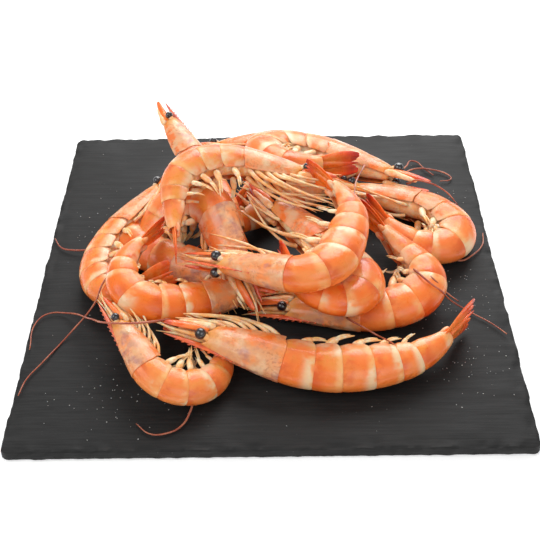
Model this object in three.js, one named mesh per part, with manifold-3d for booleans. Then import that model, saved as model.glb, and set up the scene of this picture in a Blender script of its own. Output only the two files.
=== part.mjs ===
// Plate of cooked shrimp: whole cooked shrimp in a loose heap on a square slate board.
// Millimetres, +Z up. The origin is under the middle of the board, on the table.
import * as THREE from 'three'
import Module from 'manifold-3d'
import { mergeVertices } from 'three/addons/utils/BufferGeometryUtils.js'

const wasm = await Module()
wasm.setup()

// Slate board
const BOARD_SIDE = 250
const BOARD_THICKNESS = 6
const BOARD_CORNER = 3.5
const BOARD_BEVEL = 0.8
const BOARD_STEPS_PER_SIDE = 11
const BOARD_WAVE = { depth: 0.4, step: 2.1, shift: 1.7 }
const BOARD_EDGE = [
  { inset: 0.6, height: 0 },
  { inset: 0, height: 0.8 },
  { inset: 0.2, height: 3.3 },
  { inset: BOARD_BEVEL, height: BOARD_THICKNESS },
]

// One shrimp of size 1, drawn straight: distance from the front tip, full height, full width.
// beak is how far the toothed beak stands over the head, fan widens the tail fan's leaves.
const LENGTH = 170
const WAIST = 62
const BODY = [
  { at: 2, height: 5, width: 3, beak: 3.4 },
  { at: 13, height: 8, width: 5.5, beak: 3.4 },
  { at: 24, height: 12.5, width: 9, beak: 2.6 },
  { at: 37, height: 18.5, width: 14, beak: 1 },
  { at: 50, height: 22.5, width: 17 },
  { at: 62, height: 24.5, width: 18 },
  { at: 90, height: 25.5, width: 18.5 },
  { at: 105, height: 24, width: 17.5 },
  { at: 118, height: 20.5, width: 15.5 },
  { at: 128, height: 17, width: 13 },
  { at: 148, height: 8, width: 9 },
  { at: 159, height: 3, width: 12, fan: 12 },
  { at: 170, height: 2, width: 7, fan: 10 },
]
const BODY_SIDES = 8
const BEND_ENDS = [62, 90, 118, 146]
const SPINE_STEP = 1

// The rear rim of each shell stands over the front of the next
const SHELL_REARS = [62, 77, 90, 105, 118, 128]
const RIM_LENGTH = 0.8
const RIM_HEIGHT = 0.6
const PLAIN_SECTIONS = [2, 13, 24, 37, 50, 148, 159, 170]

// Swimming paddles under the middle of each tail shell
const PADDLES = [
  { at: 70, deep: 11 },
  { at: 84, deep: 12 },
  { at: 98, deep: 11 },
  { at: 112, deep: 9 },
]
const PADDLE_REACH = 7
const PADDLE_SPACE = 1

// Eyes, legs and feelers of a shrimp of size 1
const EYE = { at: 21, radius: 2.9, side: 4.6, rise: 3.2 }
const LEG_BUNDLE = { root: 48, knee: 18, reach: 44, drop: 5, side: 3.5, radii: [3.4, 2.4, 0.7] }
const LONE_LEG = { root: 41, knee: 10, reach: 27, drop: 11, side: 3.5, radii: [1.4, 1.1, 0.6] }
const LEG_SUNK = 2.5
const LEG_TIP_DROP = 0.4
const LEG_SIDES = 4
const FEELER = { radius: 0.75, tip: 0.45, sides: 3, steps: 8 }

const CLEARANCE = 0.3

// The heap, from the top down. waist is the joint between head shell and tail, heading the way
// the head points in plan, pitch its rise, roll the turn about the body, curl the bend of the
// front, middle and rear of the tail, sway its sideways bend and headTurn the twist of the head.
// legs is how many kinds of leg show: the bundle, then the lone leg.
const SHRIMPS = [
  {
    name: 'shrimp_top', waist: [-13, 30, 54], heading: -7, pitch: -9, roll: -71,
    curl: [30, 66, 8], sway: 4, headTurn: -11, size: 0.83, fan: 0.1,
  },
  {
    name: 'shrimp_centre', waist: [10, -49, 45.5], heading: 156, pitch: -10, roll: -81,
    curl: [89, 11, 59], sway: 23, headTurn: 20, size: 0.96, fan: 0.1,
  },
  {
    name: 'shrimp_middle', waist: [-28, 6, 36], heading: -69, pitch: -17, roll: -49,
    curl: [73, 79, 47], sway: 11, headTurn: 4, size: 0.99, fan: 0.4,
  },
  {
    name: 'shrimp_under', waist: [27, -9, 30], heading: 130, pitch: 3, roll: 97,
    curl: [4, 111, 81], sway: -3, headTurn: -9, size: 0.98, fan: 0.4, legs: 1,
  },
  {
    name: 'shrimp_head_up', waist: [-47, 68, 33], heading: 117, pitch: 11, roll: 67,
    curl: [-4, 0, 7], sway: -3, headTurn: 0, size: 0.76, fan: 0.4, legs: 1,
  },
  {
    name: 'shrimp_across', waist: [-34, -40, 20], heading: 31, pitch: -14, roll: 96,
    curl: [13, 97, 45], sway: -11, headTurn: 0, size: 0.89, fan: 0.4,
    feelers: [
      [
        [-68, -31, 36], [-75, -36, 40.5], [-83, -40, 34], [-90, -43, 20], [-103, -52, 8],
        [-114, -71, 7.2], [-120, -82, 7.2], [-122, -92, 7.2],
      ],
    ],
  },
  {
    name: 'shrimp_front', waist: [6, -80, 18], heading: 163, pitch: 7, roll: -95,
    curl: [18, 11, 33], sway: 9, headTurn: 3, size: 1.00, fan: 1.3,
    feelers: [
      [
        [-49, -61, 27], [-62, -70, 34], [-76, -70, 34], [-91, -53, 20],
        [-107, -37, 8], [-117, -37, 7.4], [-122, -43, 7.2], [-122, -62, 7.2],
      ],
    ],
  },
  {
    name: 'shrimp_lower_right', waist: [46, -45, 15], heading: 171, pitch: -5, roll: -88,
    curl: [33, 100, 4], sway: 18, headTurn: -2, size: 0.96, fan: 0.4,
    feelers: [
      [
        [74, -19, 22], [77, -34, 30], [82, -40, 29], [87, -42, 26], [92, -38, 17],
        [98, -35, 9], [107, -41, 7.2], [114, -47, 7.2], [121, -55, 7.2],
      ],
      [[81, -22, 22], [83, -35, 28.5], [87, -38, 26], [92, -37, 19], [99, -35, 11]],
      [[39, -47, 13], [41, -60, 23], [46, -63, 22], [52, -64, 18], [57, -73, 23], [60, -81, 28]],
    ],
  },
  {
    name: 'shrimp_right', waist: [84, 39, 16], heading: 161, pitch: 3, roll: 87,
    curl: [51, 115, 51], sway: -9, headTurn: 17, size: 0.96, fan: 0.1, legs: 1,
    feelers: [
      [[97, 0, 14], [105, 0, 8], [114, 6, 7.4], [120, 14, 7.2], [122, 24, 7.2]],
    ],
  },
  {
    name: 'shrimp_back_right', waist: [37, 84, 19], heading: -29, pitch: -1, roll: -107,
    curl: [44, 113, 62], sway: 7, headTurn: 6, size: 1.06, fan: 0.2, legs: 0,
    feelers: [
      [[77, 66, 15], [90, 82, 10], [101, 84, 7.6], [110, 79, 7.2], [111, 75, 7.2], [104, 73, 7.2]],
      [[76, 66, 16], [84, 82, 12], [91, 93, 7.6], [96, 86, 7.2], [101, 79, 7.2]],
      [[82, 61, 15], [90, 40, 32], [100, 40, 26], [110, 44, 12]],
      [[58, 78, 17], [54, 48, 37], [49, 29, 44], [46, 11, 52], [45, 2, 54]],
    ],
  },
  {
    name: 'shrimp_left', waist: [-82, 21, 17.5], heading: 55, pitch: 9, roll: -109,
    curl: [26, 36, 84], sway: -4, headTurn: -1, size: 0.89, fan: 0.5,
    feelers: [
      [[-97, 12, 9], [-112, 13, 8], [-118, 16, 7.2], [-123, 24, 7.2]],
    ],
  },
  {
    name: 'shrimp_corner', waist: [-58, -88, 22.5], heading: 123, pitch: 12, roll: -76,
    curl: [64, 59, 34], sway: -1, headTurn: 0, size: 0.74, fan: 0.4,
    feelers: [
      [
        [-36, -96, 12], [-38, -104, 8], [-42, -112, 7.2],
        [-49, -116, 7.2], [-56, -116, 7.2], [-63, -110, 7.2],
      ],
    ],
  },
  {
    name: 'shrimp_inner', waist: [-47, -10, 18.5], heading: -27, pitch: 4, roll: 93,
    curl: [8, 69, 58], sway: 6, headTurn: 8, size: 0.92, fan: 0.4, legs: 1,
  },
  {
    name: 'shrimp_back_left', waist: [-1, 104, 14.5], heading: 185, pitch: -1, roll: 104,
    curl: [112, 25, -19], sway: 12, headTurn: 1, size: 0.82, fan: 0.4,
  },
  {
    name: 'shrimp_below', waist: [18, 50, 16], heading: 31, pitch: 3, roll: 127,
    curl: [0, -3, -6], sway: -18, headTurn: 0, size: 0.70, fan: 0.4, legs: 1,
  },
]

const radians = THREE.MathUtils.degToRad
const mix = THREE.MathUtils.lerp
const clamp = THREE.MathUtils.clamp

// Point reached from a start by steps along some directions
function offset(start, ...moves) {
  const point = start.clone()
  for (const [direction, distance] of moves) point.addScaledVector(direction, distance)
  return point
}

// One measure of the body at a distance from the tip
function bodySize(key, at) {
  const next = Math.max(1, BODY.findIndex((row) => row.at >= at))
  const [a, b] = [BODY[next - 1], BODY[next]]
  return mix(a[key] ?? 0, b[key] ?? 0, clamp((at - a.at) / (b.at - a.at), 0, 1))
}

// Bend of the tail up to a distance from the tip
function bendAt(curl, at) {
  return curl.reduce((sum, angle, i) => {
    const share = (at - BEND_ENDS[i]) / (BEND_ENDS[i + 1] - BEND_ENDS[i])
    return sum + radians(angle) * clamp(share, 0, 1)
  }, 0)
}

// Depth that a paddle can have inside the curl of the tail
function paddleDepth(curl, at, deep) {
  const radii = curl.map((angle, i) => {
    const inside = at > BEND_ENDS[i] - PADDLE_REACH && at < BEND_ENDS[i + 1] + PADDLE_REACH
    return inside && angle > 0 ? (BEND_ENDS[i + 1] - BEND_ENDS[i]) / radians(angle) : Infinity
  })
  return clamp(Math.min(...radii) - bodySize('height', at) / 2 - PADDLE_SPACE, 0, deep)
}

// Place and axes of a shrimp's body at any distance from its tip.
// back is towards its back, right towards its right side, rear along the body.
function spineOf(shrimp) {
  const heading = radians(shrimp.heading)
  const pitch = radians(shrimp.pitch)
  const roll = radians(shrimp.roll)
  const headTurn = radians(shrimp.headTurn)
  const flat = Math.cos(pitch)
  const ahead = new THREE.Vector3(Math.cos(heading) * flat, Math.sin(heading) * flat, Math.sin(pitch))
  const level = new THREE.Vector3(Math.sin(heading), -Math.cos(heading), 0)
  const lift = new THREE.Vector3().crossVectors(level, ahead)
  const none = new THREE.Vector3()
  const up = offset(none, [lift, Math.cos(roll)], [level, Math.sin(roll)])
  const side = offset(none, [level, Math.cos(roll)], [lift, -Math.sin(roll)])

  const axesAt = (at) => {
    const bend = bendAt(shrimp.curl, at)
    const sway = radians(shrimp.sway) * clamp((at - WAIST) / (BEND_ENDS[3] - WAIST), 0, 1)
    const turn = headTurn * clamp((BEND_ENDS[1] - at) / (BEND_ENDS[1] - WAIST), 0, 1)
    const inPlane = offset(none, [ahead, -Math.cos(bend)], [up, -Math.sin(bend)])
    const normal = offset(none, [up, Math.cos(bend)], [ahead, -Math.sin(bend)])
    const rear = offset(none, [inPlane, Math.cos(sway)], [side, Math.sin(sway)])
    const across = offset(none, [side, Math.cos(sway)], [inPlane, -Math.sin(sway)])
    const back = offset(none, [normal, Math.cos(turn)], [across, Math.sin(turn)])
    const right = offset(none, [across, Math.cos(turn)], [normal, -Math.sin(turn)])
    return { rear, back, right }
  }

  const points = [new THREE.Vector3(...shrimp.waist)]
  for (let at = WAIST; at < LENGTH + SPINE_STEP; at += SPINE_STEP) {
    const middle = axesAt(at + SPINE_STEP / 2).rear
    points.push(offset(points.at(-1), [middle, SPINE_STEP * shrimp.size]))
  }

  return (at) => {
    const axes = axesAt(at)
    if (at <= WAIST) return { point: offset(points[0], [axes.rear, (at - WAIST) * shrimp.size]), ...axes }
    const index = Math.min(Math.floor((at - WAIST) / SPINE_STEP), points.length - 2)
    const rest = (at - WAIST - index * SPINE_STEP) * shrimp.size
    return { point: offset(points[index], [axes.rear, rest]), ...axes }
  }
}

// Closed geometry through rings of points, with a flat cap at each end
function loft(rings) {
  const sides = rings[0].length
  const last = (rings.length - 1) * sides
  const faces = []
  for (let ring = 0; ring < last; ring += sides) {
    for (let k = 0; k < sides; k++) {
      const next = (k + 1) % sides
      faces.push(ring + k, ring + next, ring + sides + next)
      faces.push(ring + k, ring + sides + next, ring + sides + k)
    }
  }
  for (let k = 1; k < sides - 1; k++) {
    faces.push(0, k + 1, k)
    faces.push(last, last + k, last + k + 1)
  }
  const geometry = new THREE.BufferGeometry().setFromPoints(rings.flat())
  geometry.setIndex(faces)
  return geometry
}

// Volume under the faces, negative when they point inwards
function signedVolume(corners, faces) {
  let total = 0
  for (let i = 0; i < faces.length; i += 3) {
    const [a, b, c] = [0, 1, 2].map((k) => new THREE.Vector3().fromArray(corners, faces[i + k] * 3))
    total += a.dot(b.cross(c))
  }
  return total
}

function solid(geometry) {
  const vertProperties = new Float32Array(geometry.attributes.position.array)
  const triVerts = new Uint32Array(geometry.index.array)
  if (signedVolume(vertProperties, triVerts) < 0) {
    for (let i = 0; i < triVerts.length; i += 3) {
      [triVerts[i + 1], triVerts[i + 2]] = [triVerts[i + 2], triVerts[i + 1]]
    }
  }
  return new wasm.Manifold(new wasm.Mesh({ numProp: 3, vertProperties, triVerts }))
}

function geometryOf(manifold) {
  const mesh = manifold.getMesh()
  const geometry = new THREE.BufferGeometry()
  geometry.setAttribute('position', new THREE.BufferAttribute(mesh.vertProperties, 3))
  geometry.setIndex(new THREE.BufferAttribute(mesh.triVerts, 1))
  geometry.computeVertexNormals()
  return geometry
}

// Section of the body: rounded, with the beak over it and a paddle under it
function bodySection({ point, back, right }, height, width, beak, deep) {
  return Array.from({ length: BODY_SIDES }, (_, k) => {
    const angle = (2 * Math.PI * k) / BODY_SIDES
    const rise = (Math.cos(angle) * height) / 2
    const extra = k === 0 ? beak : k === BODY_SIDES / 2 ? -deep : 0
    return offset(point, [back, rise + extra], [right, (Math.sin(angle) * width) / 2])
  })
}

// Head shell, tail shells, paddles and tail fan as one body, grown by a margin
function bodyOf(shrimp, spine, margin) {
  const { size, fan } = shrimp
  const rims = SHELL_REARS.flatMap((at) => [
    { at, swell: RIM_HEIGHT },
    { at: at + RIM_LENGTH, swell: -RIM_HEIGHT },
  ])
  const plain = PLAIN_SECTIONS.map((at) => ({ at }))
  const sections = [...rims, ...plain, ...PADDLES].sort((a, b) => a.at - b.at)
  const rings = sections.map(({ at, swell = 0, deep = 0 }, i) => {
    const frame = spine(at)
    const end = i === 0 ? -margin : i === sections.length - 1 ? margin : 0
    frame.point.addScaledVector(frame.rear, end)
    const grow = swell * size + 2 * margin
    const height = bodySize('height', at) * size + grow
    const width = (bodySize('width', at) + bodySize('fan', at) * fan) * size + grow
    const paddle = paddleDepth(shrimp.curl, at, deep)
    return bodySection(frame, height, width, bodySize('beak', at) * size, paddle * size)
  })
  return solid(loft(rings))
}

// Tapered limb through some points
function limb(points, radiusAt, sides, reference) {
  return solid(loft(points.map((point, i) => {
    const before = points[Math.max(i - 1, 0)]
    const after = points[Math.min(i + 1, points.length - 1)]
    const along = after.clone().sub(before).normalize()
    const first = new THREE.Vector3().crossVectors(reference, along).normalize()
    const second = new THREE.Vector3().crossVectors(along, first)
    const radius = radiusAt(i / (points.length - 1))
    return Array.from({ length: sides }, (_, k) => {
      const angle = (2 * Math.PI * (k + 0.5)) / sides
      return offset(point, [first, radius * Math.cos(angle)], [second, radius * Math.sin(angle)])
    })
  })))
}

function eyesOf(shrimp, spine, margin) {
  const { point, back, right } = spine(EYE.at)
  return [-1, 1].map((side) => {
    const geometry = new THREE.IcosahedronGeometry(EYE.radius * shrimp.size + margin, 0)
    geometry.deleteAttribute('normal')
    geometry.deleteAttribute('uv')
    const centre = offset(point, [right, side * EYE.side * shrimp.size], [back, EYE.rise * shrimp.size])
    geometry.translate(...centre.toArray())
    return solid(mergeVertices(geometry))
  })
}

// Walking legs folded forward under the head: a bundle and a lone leg on each side
function legsOf(shrimp, spine, margin) {
  const { size, legs = 2 } = shrimp
  return [LEG_BUNDLE, LONE_LEG].slice(0, legs).flatMap((leg) => [-1, 1].map((side) => {
    const place = (at, drop) => {
      const { point, back, right } = spine(at)
      const belly = -bodySize('height', leg.root) / 2
      return offset(point, [back, (belly - drop) * size], [right, side * leg.side * size])
    }
    const points = [
      place(leg.root, -LEG_SUNK),
      place(leg.root - leg.knee, leg.drop),
      place(leg.root - leg.reach, leg.drop * LEG_TIP_DROP),
    ]
    const radiusAt = (share) => leg.radii[Math.round(share * (points.length - 1))] * size + margin
    return limb(points, radiusAt, LEG_SIDES, spine(leg.root).right)
  }))
}

// Feelers, each through a few places on the way from the head to its end
function feelersOf(shrimp, margin) {
  return (shrimp.feelers ?? []).map((stops) => {
    const curve = new THREE.CatmullRomCurve3(stops.map((stop) => new THREE.Vector3(...stop)))
    const radiusAt = (share) => mix(FEELER.radius, FEELER.tip, share) + margin
    return limb(curve.getPoints(FEELER.steps), radiusAt, FEELER.sides, new THREE.Vector3(0, 0, 1))
  })
}

const joined = (parts) => parts.reduce((sum, part) => sum.add(part))

// Body and eyes on one side, the thin parts that give way to other bodies on the other
function partsOf(shrimp, margin) {
  const spine = spineOf(shrimp)
  const body = joined([bodyOf(shrimp, spine, margin), ...eyesOf(shrimp, spine, margin)])
  const trim = joined([
    ...legsOf(shrimp, spine, margin),
    ...feelersOf(shrimp, margin),
  ])
  return { body, trim }
}

function touching(a, b) {
  const [p, q] = [a.boundingBox(), b.boundingBox()]
  return [0, 1, 2].every((k) => p.min[k] < q.max[k] && q.min[k] < p.max[k])
}

const cleared = (start, others) => others.filter((other) => touching(start, other))
  .reduce((rest, other) => rest.subtract(other), start)

// Space of the board and what is below it, with the gap that the shrimp keep to it
function boardRoom() {
  const reach = BOARD_SIDE
  const geometry = new THREE.BoxGeometry(2 * reach, 2 * reach, reach)
  geometry.deleteAttribute('normal')
  geometry.deleteAttribute('uv')
  geometry.translate(0, 0, BOARD_THICKNESS + CLEARANCE - reach / 2)
  return solid(mergeVertices(geometry))
}

// The shrimp of the heap as solids that keep clear of each other and of the board
function heapOf(shrimps) {
  const exact = shrimps.map((shrimp) => partsOf(shrimp, 0))
  const room = shrimps.map((shrimp) => partsOf(shrimp, CLEARANCE))
  const floor = boardRoom()
  return shrimps.map((shrimp, i) => {
    const above = room.slice(0, i)
    const others = room.filter((_, k) => k !== i)
    const body = cleared(exact[i].body, above.map((other) => other.body))
    const trim = cleared(exact[i].trim, [
      ...others.map((other) => other.body),
      ...above.map((other) => other.trim),
    ])
    const pieces = body.add(trim).subtract(floor).decompose()
    return pieces.sort((a, b) => b.volume() - a.volume())[0]
  })
}

// Split slate with chipped, slightly wavy edges and rounded corners
function boardGeometry() {
  const half = BOARD_SIDE / 2
  const outline = ({ inset, height }) => {
    const points = []
    for (let side = 0; side < 4; side++) {
      const turn = (side * Math.PI) / 2
      for (let k = 0; k < BOARD_STEPS_PER_SIDE; k++) {
        const reach = half - BOARD_CORNER
        const run = mix(-reach, reach, k / (BOARD_STEPS_PER_SIDE - 1))
        const wave = BOARD_WAVE.depth * (Math.sin(k * BOARD_WAVE.step + side * BOARD_WAVE.shift) - 1)
        const out = half - inset + (Math.abs(run) < reach ? wave : 0)
        const corner = new THREE.Vector3(out, run * (1 - inset / half), height)
        points.push(corner.applyAxisAngle(new THREE.Vector3(0, 0, 1), turn))
      }
    }
    return points
  }
  return loft(BOARD_EDGE.map(outline))
}

const slate = new THREE.MeshStandardMaterial({ color: 0x45464a, roughness: 0.75, metalness: 0 })
const shell = new THREE.MeshStandardMaterial({ color: 0xf08a50, roughness: 0.35, metalness: 0 })

const plate = new THREE.Group()

const board = new THREE.Mesh(geometryOf(solid(boardGeometry())), slate)
board.name = 'slate_board'
plate.add(board)

heapOf(SHRIMPS).forEach((shape, i) => {
  const mesh = new THREE.Mesh(geometryOf(shape), shell)
  mesh.name = SHRIMPS[i].name
  plate.add(mesh)
})

export default plate
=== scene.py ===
# %% [markdown]
# # A heap of cooked shrimp on a slate board
# Fifteen whole cooked shrimp lie across each other on a square of split slate. The frame holds
# a plain solid for each of them. Here every solid gets its real skin: overlapping shells, a
# toothed beak, legs, swimming paddles, eyes and feelers.
# One shrimp is modelled straight, as a master, and copies of it are bent to the fifteen poses.
# Modelling fifteen curled shrimp one by one would give no better likeness, and it would take
# fifteen times as long to correct a shell.

# %% Load the frame
import math
import bmesh
import bpy
import numpy as np
from mathutils import Matrix, Vector


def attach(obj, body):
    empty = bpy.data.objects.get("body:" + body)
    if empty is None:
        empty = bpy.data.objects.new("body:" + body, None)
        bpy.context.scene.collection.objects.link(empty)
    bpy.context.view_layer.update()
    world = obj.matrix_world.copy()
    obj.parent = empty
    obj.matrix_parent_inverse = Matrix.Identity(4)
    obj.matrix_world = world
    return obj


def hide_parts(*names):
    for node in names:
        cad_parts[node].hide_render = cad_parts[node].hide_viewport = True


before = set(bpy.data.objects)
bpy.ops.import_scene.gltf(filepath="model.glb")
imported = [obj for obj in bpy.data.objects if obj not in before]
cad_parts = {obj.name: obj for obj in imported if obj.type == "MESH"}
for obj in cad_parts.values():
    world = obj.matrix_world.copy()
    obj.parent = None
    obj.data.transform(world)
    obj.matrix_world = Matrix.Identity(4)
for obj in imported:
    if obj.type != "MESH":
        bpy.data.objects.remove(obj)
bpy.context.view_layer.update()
print("solids in the frame:", len(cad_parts))

# %% [markdown]
# ## The straight shrimp
# A whole cooked shrimp is measured along its back, from the tip of the beak to the end of the fan.
# It is deepest just behind the waist, where the head shell meets the tail. A picture plane could
# guide the modelling instead, but a short table of heights and widths serves every piece at once:
# shells, belly and legs all ask it how big the body is at their place.

# %% Units and the body's measures
MM = 0.001
LENGTH = 170
WAIST = 62
BEND_ENDS = [62, 90, 118, 146]
# Distance from the tip of the beak, height and width of the body, all in millimetres
BODY = [
    (2, 5, 3), (13, 8, 5.5), (24, 12.5, 9), (37, 18.5, 14), (50, 22.5, 17), (62, 24.5, 18),
    (90, 25.5, 18.5), (105, 24, 17.5), (118, 20.5, 15.5), (128, 17, 13), (148, 8, 9), (170, 2, 7),
]


def body_size(key, at):
    """The height or the width of the straight shrimp at a distance from its tip."""
    column = {"height": 1, "width": 2}[key]
    return float(np.interp(at, [row[0] for row in BODY], [row[column] for row in BODY]))


print("height at the waist:", body_size("height", WAIST), "mm")

# %% [markdown]
# ## The camera
# The four corners of the slate in the photograph fix the camera: its height above the board, its
# small turn and roll, and its distance. A camera object could be aimed with a Track To constraint,
# but the roll would need a second step. Here three axes are worked out from three angles and put
# into one matrix, which says exactly where the camera looks.

# %% Camera
LOOK_DOWN = math.radians(42.777)
TURN = math.radians(-0.601)
ROLL = math.radians(-1.141)
DISTANCE = 525.54 * MM
TARGET = Vector((0.188, -3.523, 6)) * MM
FOCAL_SHARE = 951.51 / 540
SENSOR = 36

forward = Vector((
    math.sin(TURN) * math.cos(LOOK_DOWN),
    math.cos(TURN) * math.cos(LOOK_DOWN),
    -math.sin(LOOK_DOWN),
))
level = Vector((math.cos(TURN), -math.sin(TURN), 0))
upward = level.cross(forward)
camera_right = level * math.cos(ROLL) + upward * math.sin(ROLL)
camera_up = upward * math.cos(ROLL) - level * math.sin(ROLL)

camera = bpy.data.objects.new("camera", bpy.data.cameras.new("camera"))
bpy.context.scene.collection.objects.link(camera)
camera.data.sensor_width = SENSOR
camera.data.lens = FOCAL_SHARE * SENSOR
axes = Matrix((camera_right, camera_up, -forward)).transposed()
camera.matrix_world = Matrix.Translation(TARGET - forward * DISTANCE) @ axes.to_4x4()
bpy.context.scene.camera = camera
print("lens:", round(camera.data.lens, 1), "mm")

# %% [markdown]
# ## Floor and light
# The photograph has a white ground and a large soft light behind and above the food, which puts a
# grey sheen on the far side of the slate and a soft shadow in front of each shrimp. A sun would
# give hard edges, so three large area lamps and a bright world do the work.

# %% Floor and light
FLOOR_SIDE = 6
FLOOR_DROP = 0.2 * MM
FLOOR_FINISH = {
    "Base Color": (0.9, 0.9, 0.9, 1), "Roughness": 0.8,
    "Emission Color": (1, 1, 1, 1), "Emission Strength": 0.3,
}
bpy.ops.object.select_all(action="DESELECT")
bpy.ops.mesh.primitive_plane_add(size=FLOOR_SIDE, location=(0, 0, -FLOOR_DROP))
floor = bpy.context.object
floor.name = "floor"
bpy.ops.object.transform_apply(location=True)
floor_paint = bpy.data.materials.new("floor_paint")
floor_paint.use_nodes = True
for socket, value in FLOOR_FINISH.items():
    floor_paint.node_tree.nodes["Principled BSDF"].inputs[socket].default_value = value
floor.data.materials.append(floor_paint)


# Place, side and power of each lamp, in metres and watts
LAMPS = {
    "back_lamp": ((0.15, 0.9, 0.75), 0.9, 15),
    "left_lamp": ((-0.8, -0.3, 0.9), 0.8, 6.5),
    "front_lamp": ((0.5, -0.9, 0.8), 0.8, 4.0),
}
LAMP_TARGET = Vector((0, 0, 0.03))
WORLD_STRENGTH = 0.47


def soft_lamp(name, place, side, power):
    """A square area lamp that faces the middle of the heap."""
    lamp = bpy.data.lights.new(name, "AREA")
    lamp.size = side
    lamp.energy = power
    holder = bpy.data.objects.new(name, lamp)
    bpy.context.scene.collection.objects.link(holder)
    holder.location = place
    aim = LAMP_TARGET - Vector(place)
    holder.rotation_euler = aim.to_track_quat("-Z", "Y").to_euler()


for name, lamp in LAMPS.items():
    soft_lamp(name, *lamp)
world = bpy.data.worlds.new("studio")
bpy.context.scene.world = world
world.use_nodes = True
world.node_tree.nodes["Background"].inputs["Color"].default_value = (1, 1, 1, 1)
world.node_tree.nodes["Background"].inputs["Strength"].default_value = WORLD_STRENGTH
bpy.context.scene.view_settings.view_transform = "Standard"
print("lamps:", len(LAMPS))

# %% [markdown]
# ## Tools for the bench
# A shell is drawn the way a ring is pulled along a body: an arch or a ring is added, extruded to
# the next place, scaled there, and so on. Two helpers do this for everything that follows.
# `pull_ring` gives a closed tube, such as the belly. `pull_arch` gives an open sheet, such as a
# tail shell, which is thickened afterwards.

# %% Helpers for edit mode
def only(piece):
    """Makes one object the only selected one, and the active one, out of edit mode."""
    if bpy.context.mode == "EDIT_MESH":
        bpy.ops.object.mode_set(mode="OBJECT")
    bpy.ops.object.select_all(action="DESELECT")
    piece.select_set(True)
    bpy.context.view_layer.objects.active = piece


def edit_all(piece):
    """Goes into edit mode on one object, with all of it selected."""
    only(piece)
    bpy.ops.object.mode_set(mode="EDIT")
    bpy.ops.mesh.select_all(action="SELECT")


def pick(piece, test):
    """Selects the vertices whose place passes a test, in edit mode."""
    edit_all(piece)
    shape = bmesh.from_edit_mesh(piece.data)
    for vert in shape.verts:
        vert.select_set(bool(test(vert.co / MM)))
    shape.select_flush_mode()
    bmesh.update_edit_mesh(piece.data)


def leave_edit():
    bpy.ops.object.mode_set(mode="OBJECT")


def finish_with(piece, kind, **settings):
    """Adds a modifier with its settings and applies it."""
    only(piece)
    modifier = piece.modifiers.new(kind.lower(), kind)
    for key, value in settings.items():
        setattr(modifier, key, value)
    bpy.ops.object.modifier_apply(modifier=modifier.name)
    return piece


def smooth(piece, levels=1):
    return finish_with(piece, "SUBSURF", levels=levels, render_levels=levels)


def merged(pieces, name):
    """Joins several objects into one that takes the name."""
    bpy.ops.object.select_all(action="DESELECT")
    for piece in pieces:
        piece.select_set(True)
    bpy.context.view_layer.objects.active = pieces[0]
    if len(pieces) > 1:
        bpy.ops.object.join()
    pieces[0].name = name
    return pieces[0]


MERGE_WITHIN = 0.02 * MM


def faces_out(piece):
    """Merges doubled vertices and turns all faces outwards."""
    edit_all(piece)
    bpy.ops.mesh.remove_doubles(threshold=MERGE_WITHIN)
    bpy.ops.mesh.normals_make_consistent(inside=False)
    leave_edit()
    return piece


print("vertices closer than", MERGE_WITHIN / MM, "mm are merged")


# %% Helpers that pull a ring or an arch along the body
def pull(rows):
    """Extrudes the selection from the first row to the last: x, half width, half height, y, z."""
    x, wide, high, y, z = rows[0]
    bpy.ops.transform.resize(value=(1, wide * MM, high * MM), center_override=(0, 0, 0))
    bpy.ops.transform.translate(value=(x * MM, y * MM, z * MM))
    for before, row in zip(rows, rows[1:]):
        step = [(row[k] - before[k]) * MM for k in (0, 3, 4)]
        bpy.ops.mesh.extrude_region_move(TRANSFORM_OT_translate={"value": step})
        middle = [row[k] * MM for k in (0, 3, 4)]
        growth = (1, row[1] / before[1], row[2] / before[2])
        bpy.ops.transform.resize(value=growth, center_override=middle)


def padded_rows(rows):
    """Fills a row up to five numbers, so that y and z may be left out."""
    return [tuple(row) + (0,) * (5 - len(row)) for row in rows]


def pull_ring(name, rows, sides=10):
    """A closed tube through elliptical rings."""
    bpy.ops.object.select_all(action="DESELECT")
    bpy.ops.mesh.primitive_circle_add(
        vertices=sides, radius=1, fill_type="NGON", rotation=(0, math.pi / 2, 0))
    piece = bpy.context.object
    piece.name = name
    bpy.ops.object.transform_apply(rotation=True)
    edit_all(piece)
    pull(padded_rows(rows))
    leave_edit()
    return faces_out(piece)


def pull_arch(name, rows, spread, steps, facing=0):
    """An open sheet through arches that span some degrees, facing away from the back by some."""
    bpy.ops.object.select_all(action="DESELECT")
    bpy.ops.mesh.primitive_plane_add(size=MM)
    piece = bpy.context.object
    piece.name = name
    first = math.radians(facing - spread / 2)
    edit_all(piece)
    bpy.ops.mesh.merge(type="CENTER")
    bpy.ops.transform.translate(value=(0, math.sin(first), math.cos(first)))
    bpy.ops.mesh.spin(steps=steps, angle=math.radians(spread), center=(0, 0, 0), axis=(1, 0, 0))
    bpy.ops.mesh.select_all(action="SELECT")
    pull(padded_rows(rows))
    leave_edit()
    return piece


def thicken(piece, thickness):
    """Gives an open sheet a wall and makes sure that its faces point outwards."""
    finish_with(piece, "SOLIDIFY", thickness=thickness * MM, offset=0, use_even_offset=True)
    return faces_out(piece)


SHELL_WALL = 0.45
print("walls of the shells:", SHELL_WALL, "mm")


# %% [markdown]
# ## Marks that the materials read
# A shrimp's colours follow its shells: each has a dark front, a pale rear rim and pale lobes. A
# pattern in Object coordinates would cut straight through a curled body. So each piece of the
# master carries three marks on its vertices, which stay with them when the body is bent:
# `along`, from 0 at the front of a shell to 1 at its rear; `round`, from 0 on the back to 1 at
# the lower edge; and `rest`, the place on the straight shrimp.

# %% Marks on the vertices
def places(piece):
    """The vertices' places in millimetres, as an array."""
    flat = np.zeros(len(piece.data.vertices) * 3)
    piece.data.vertices.foreach_get("co", flat)
    return flat.reshape(-1, 3) / MM


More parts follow.
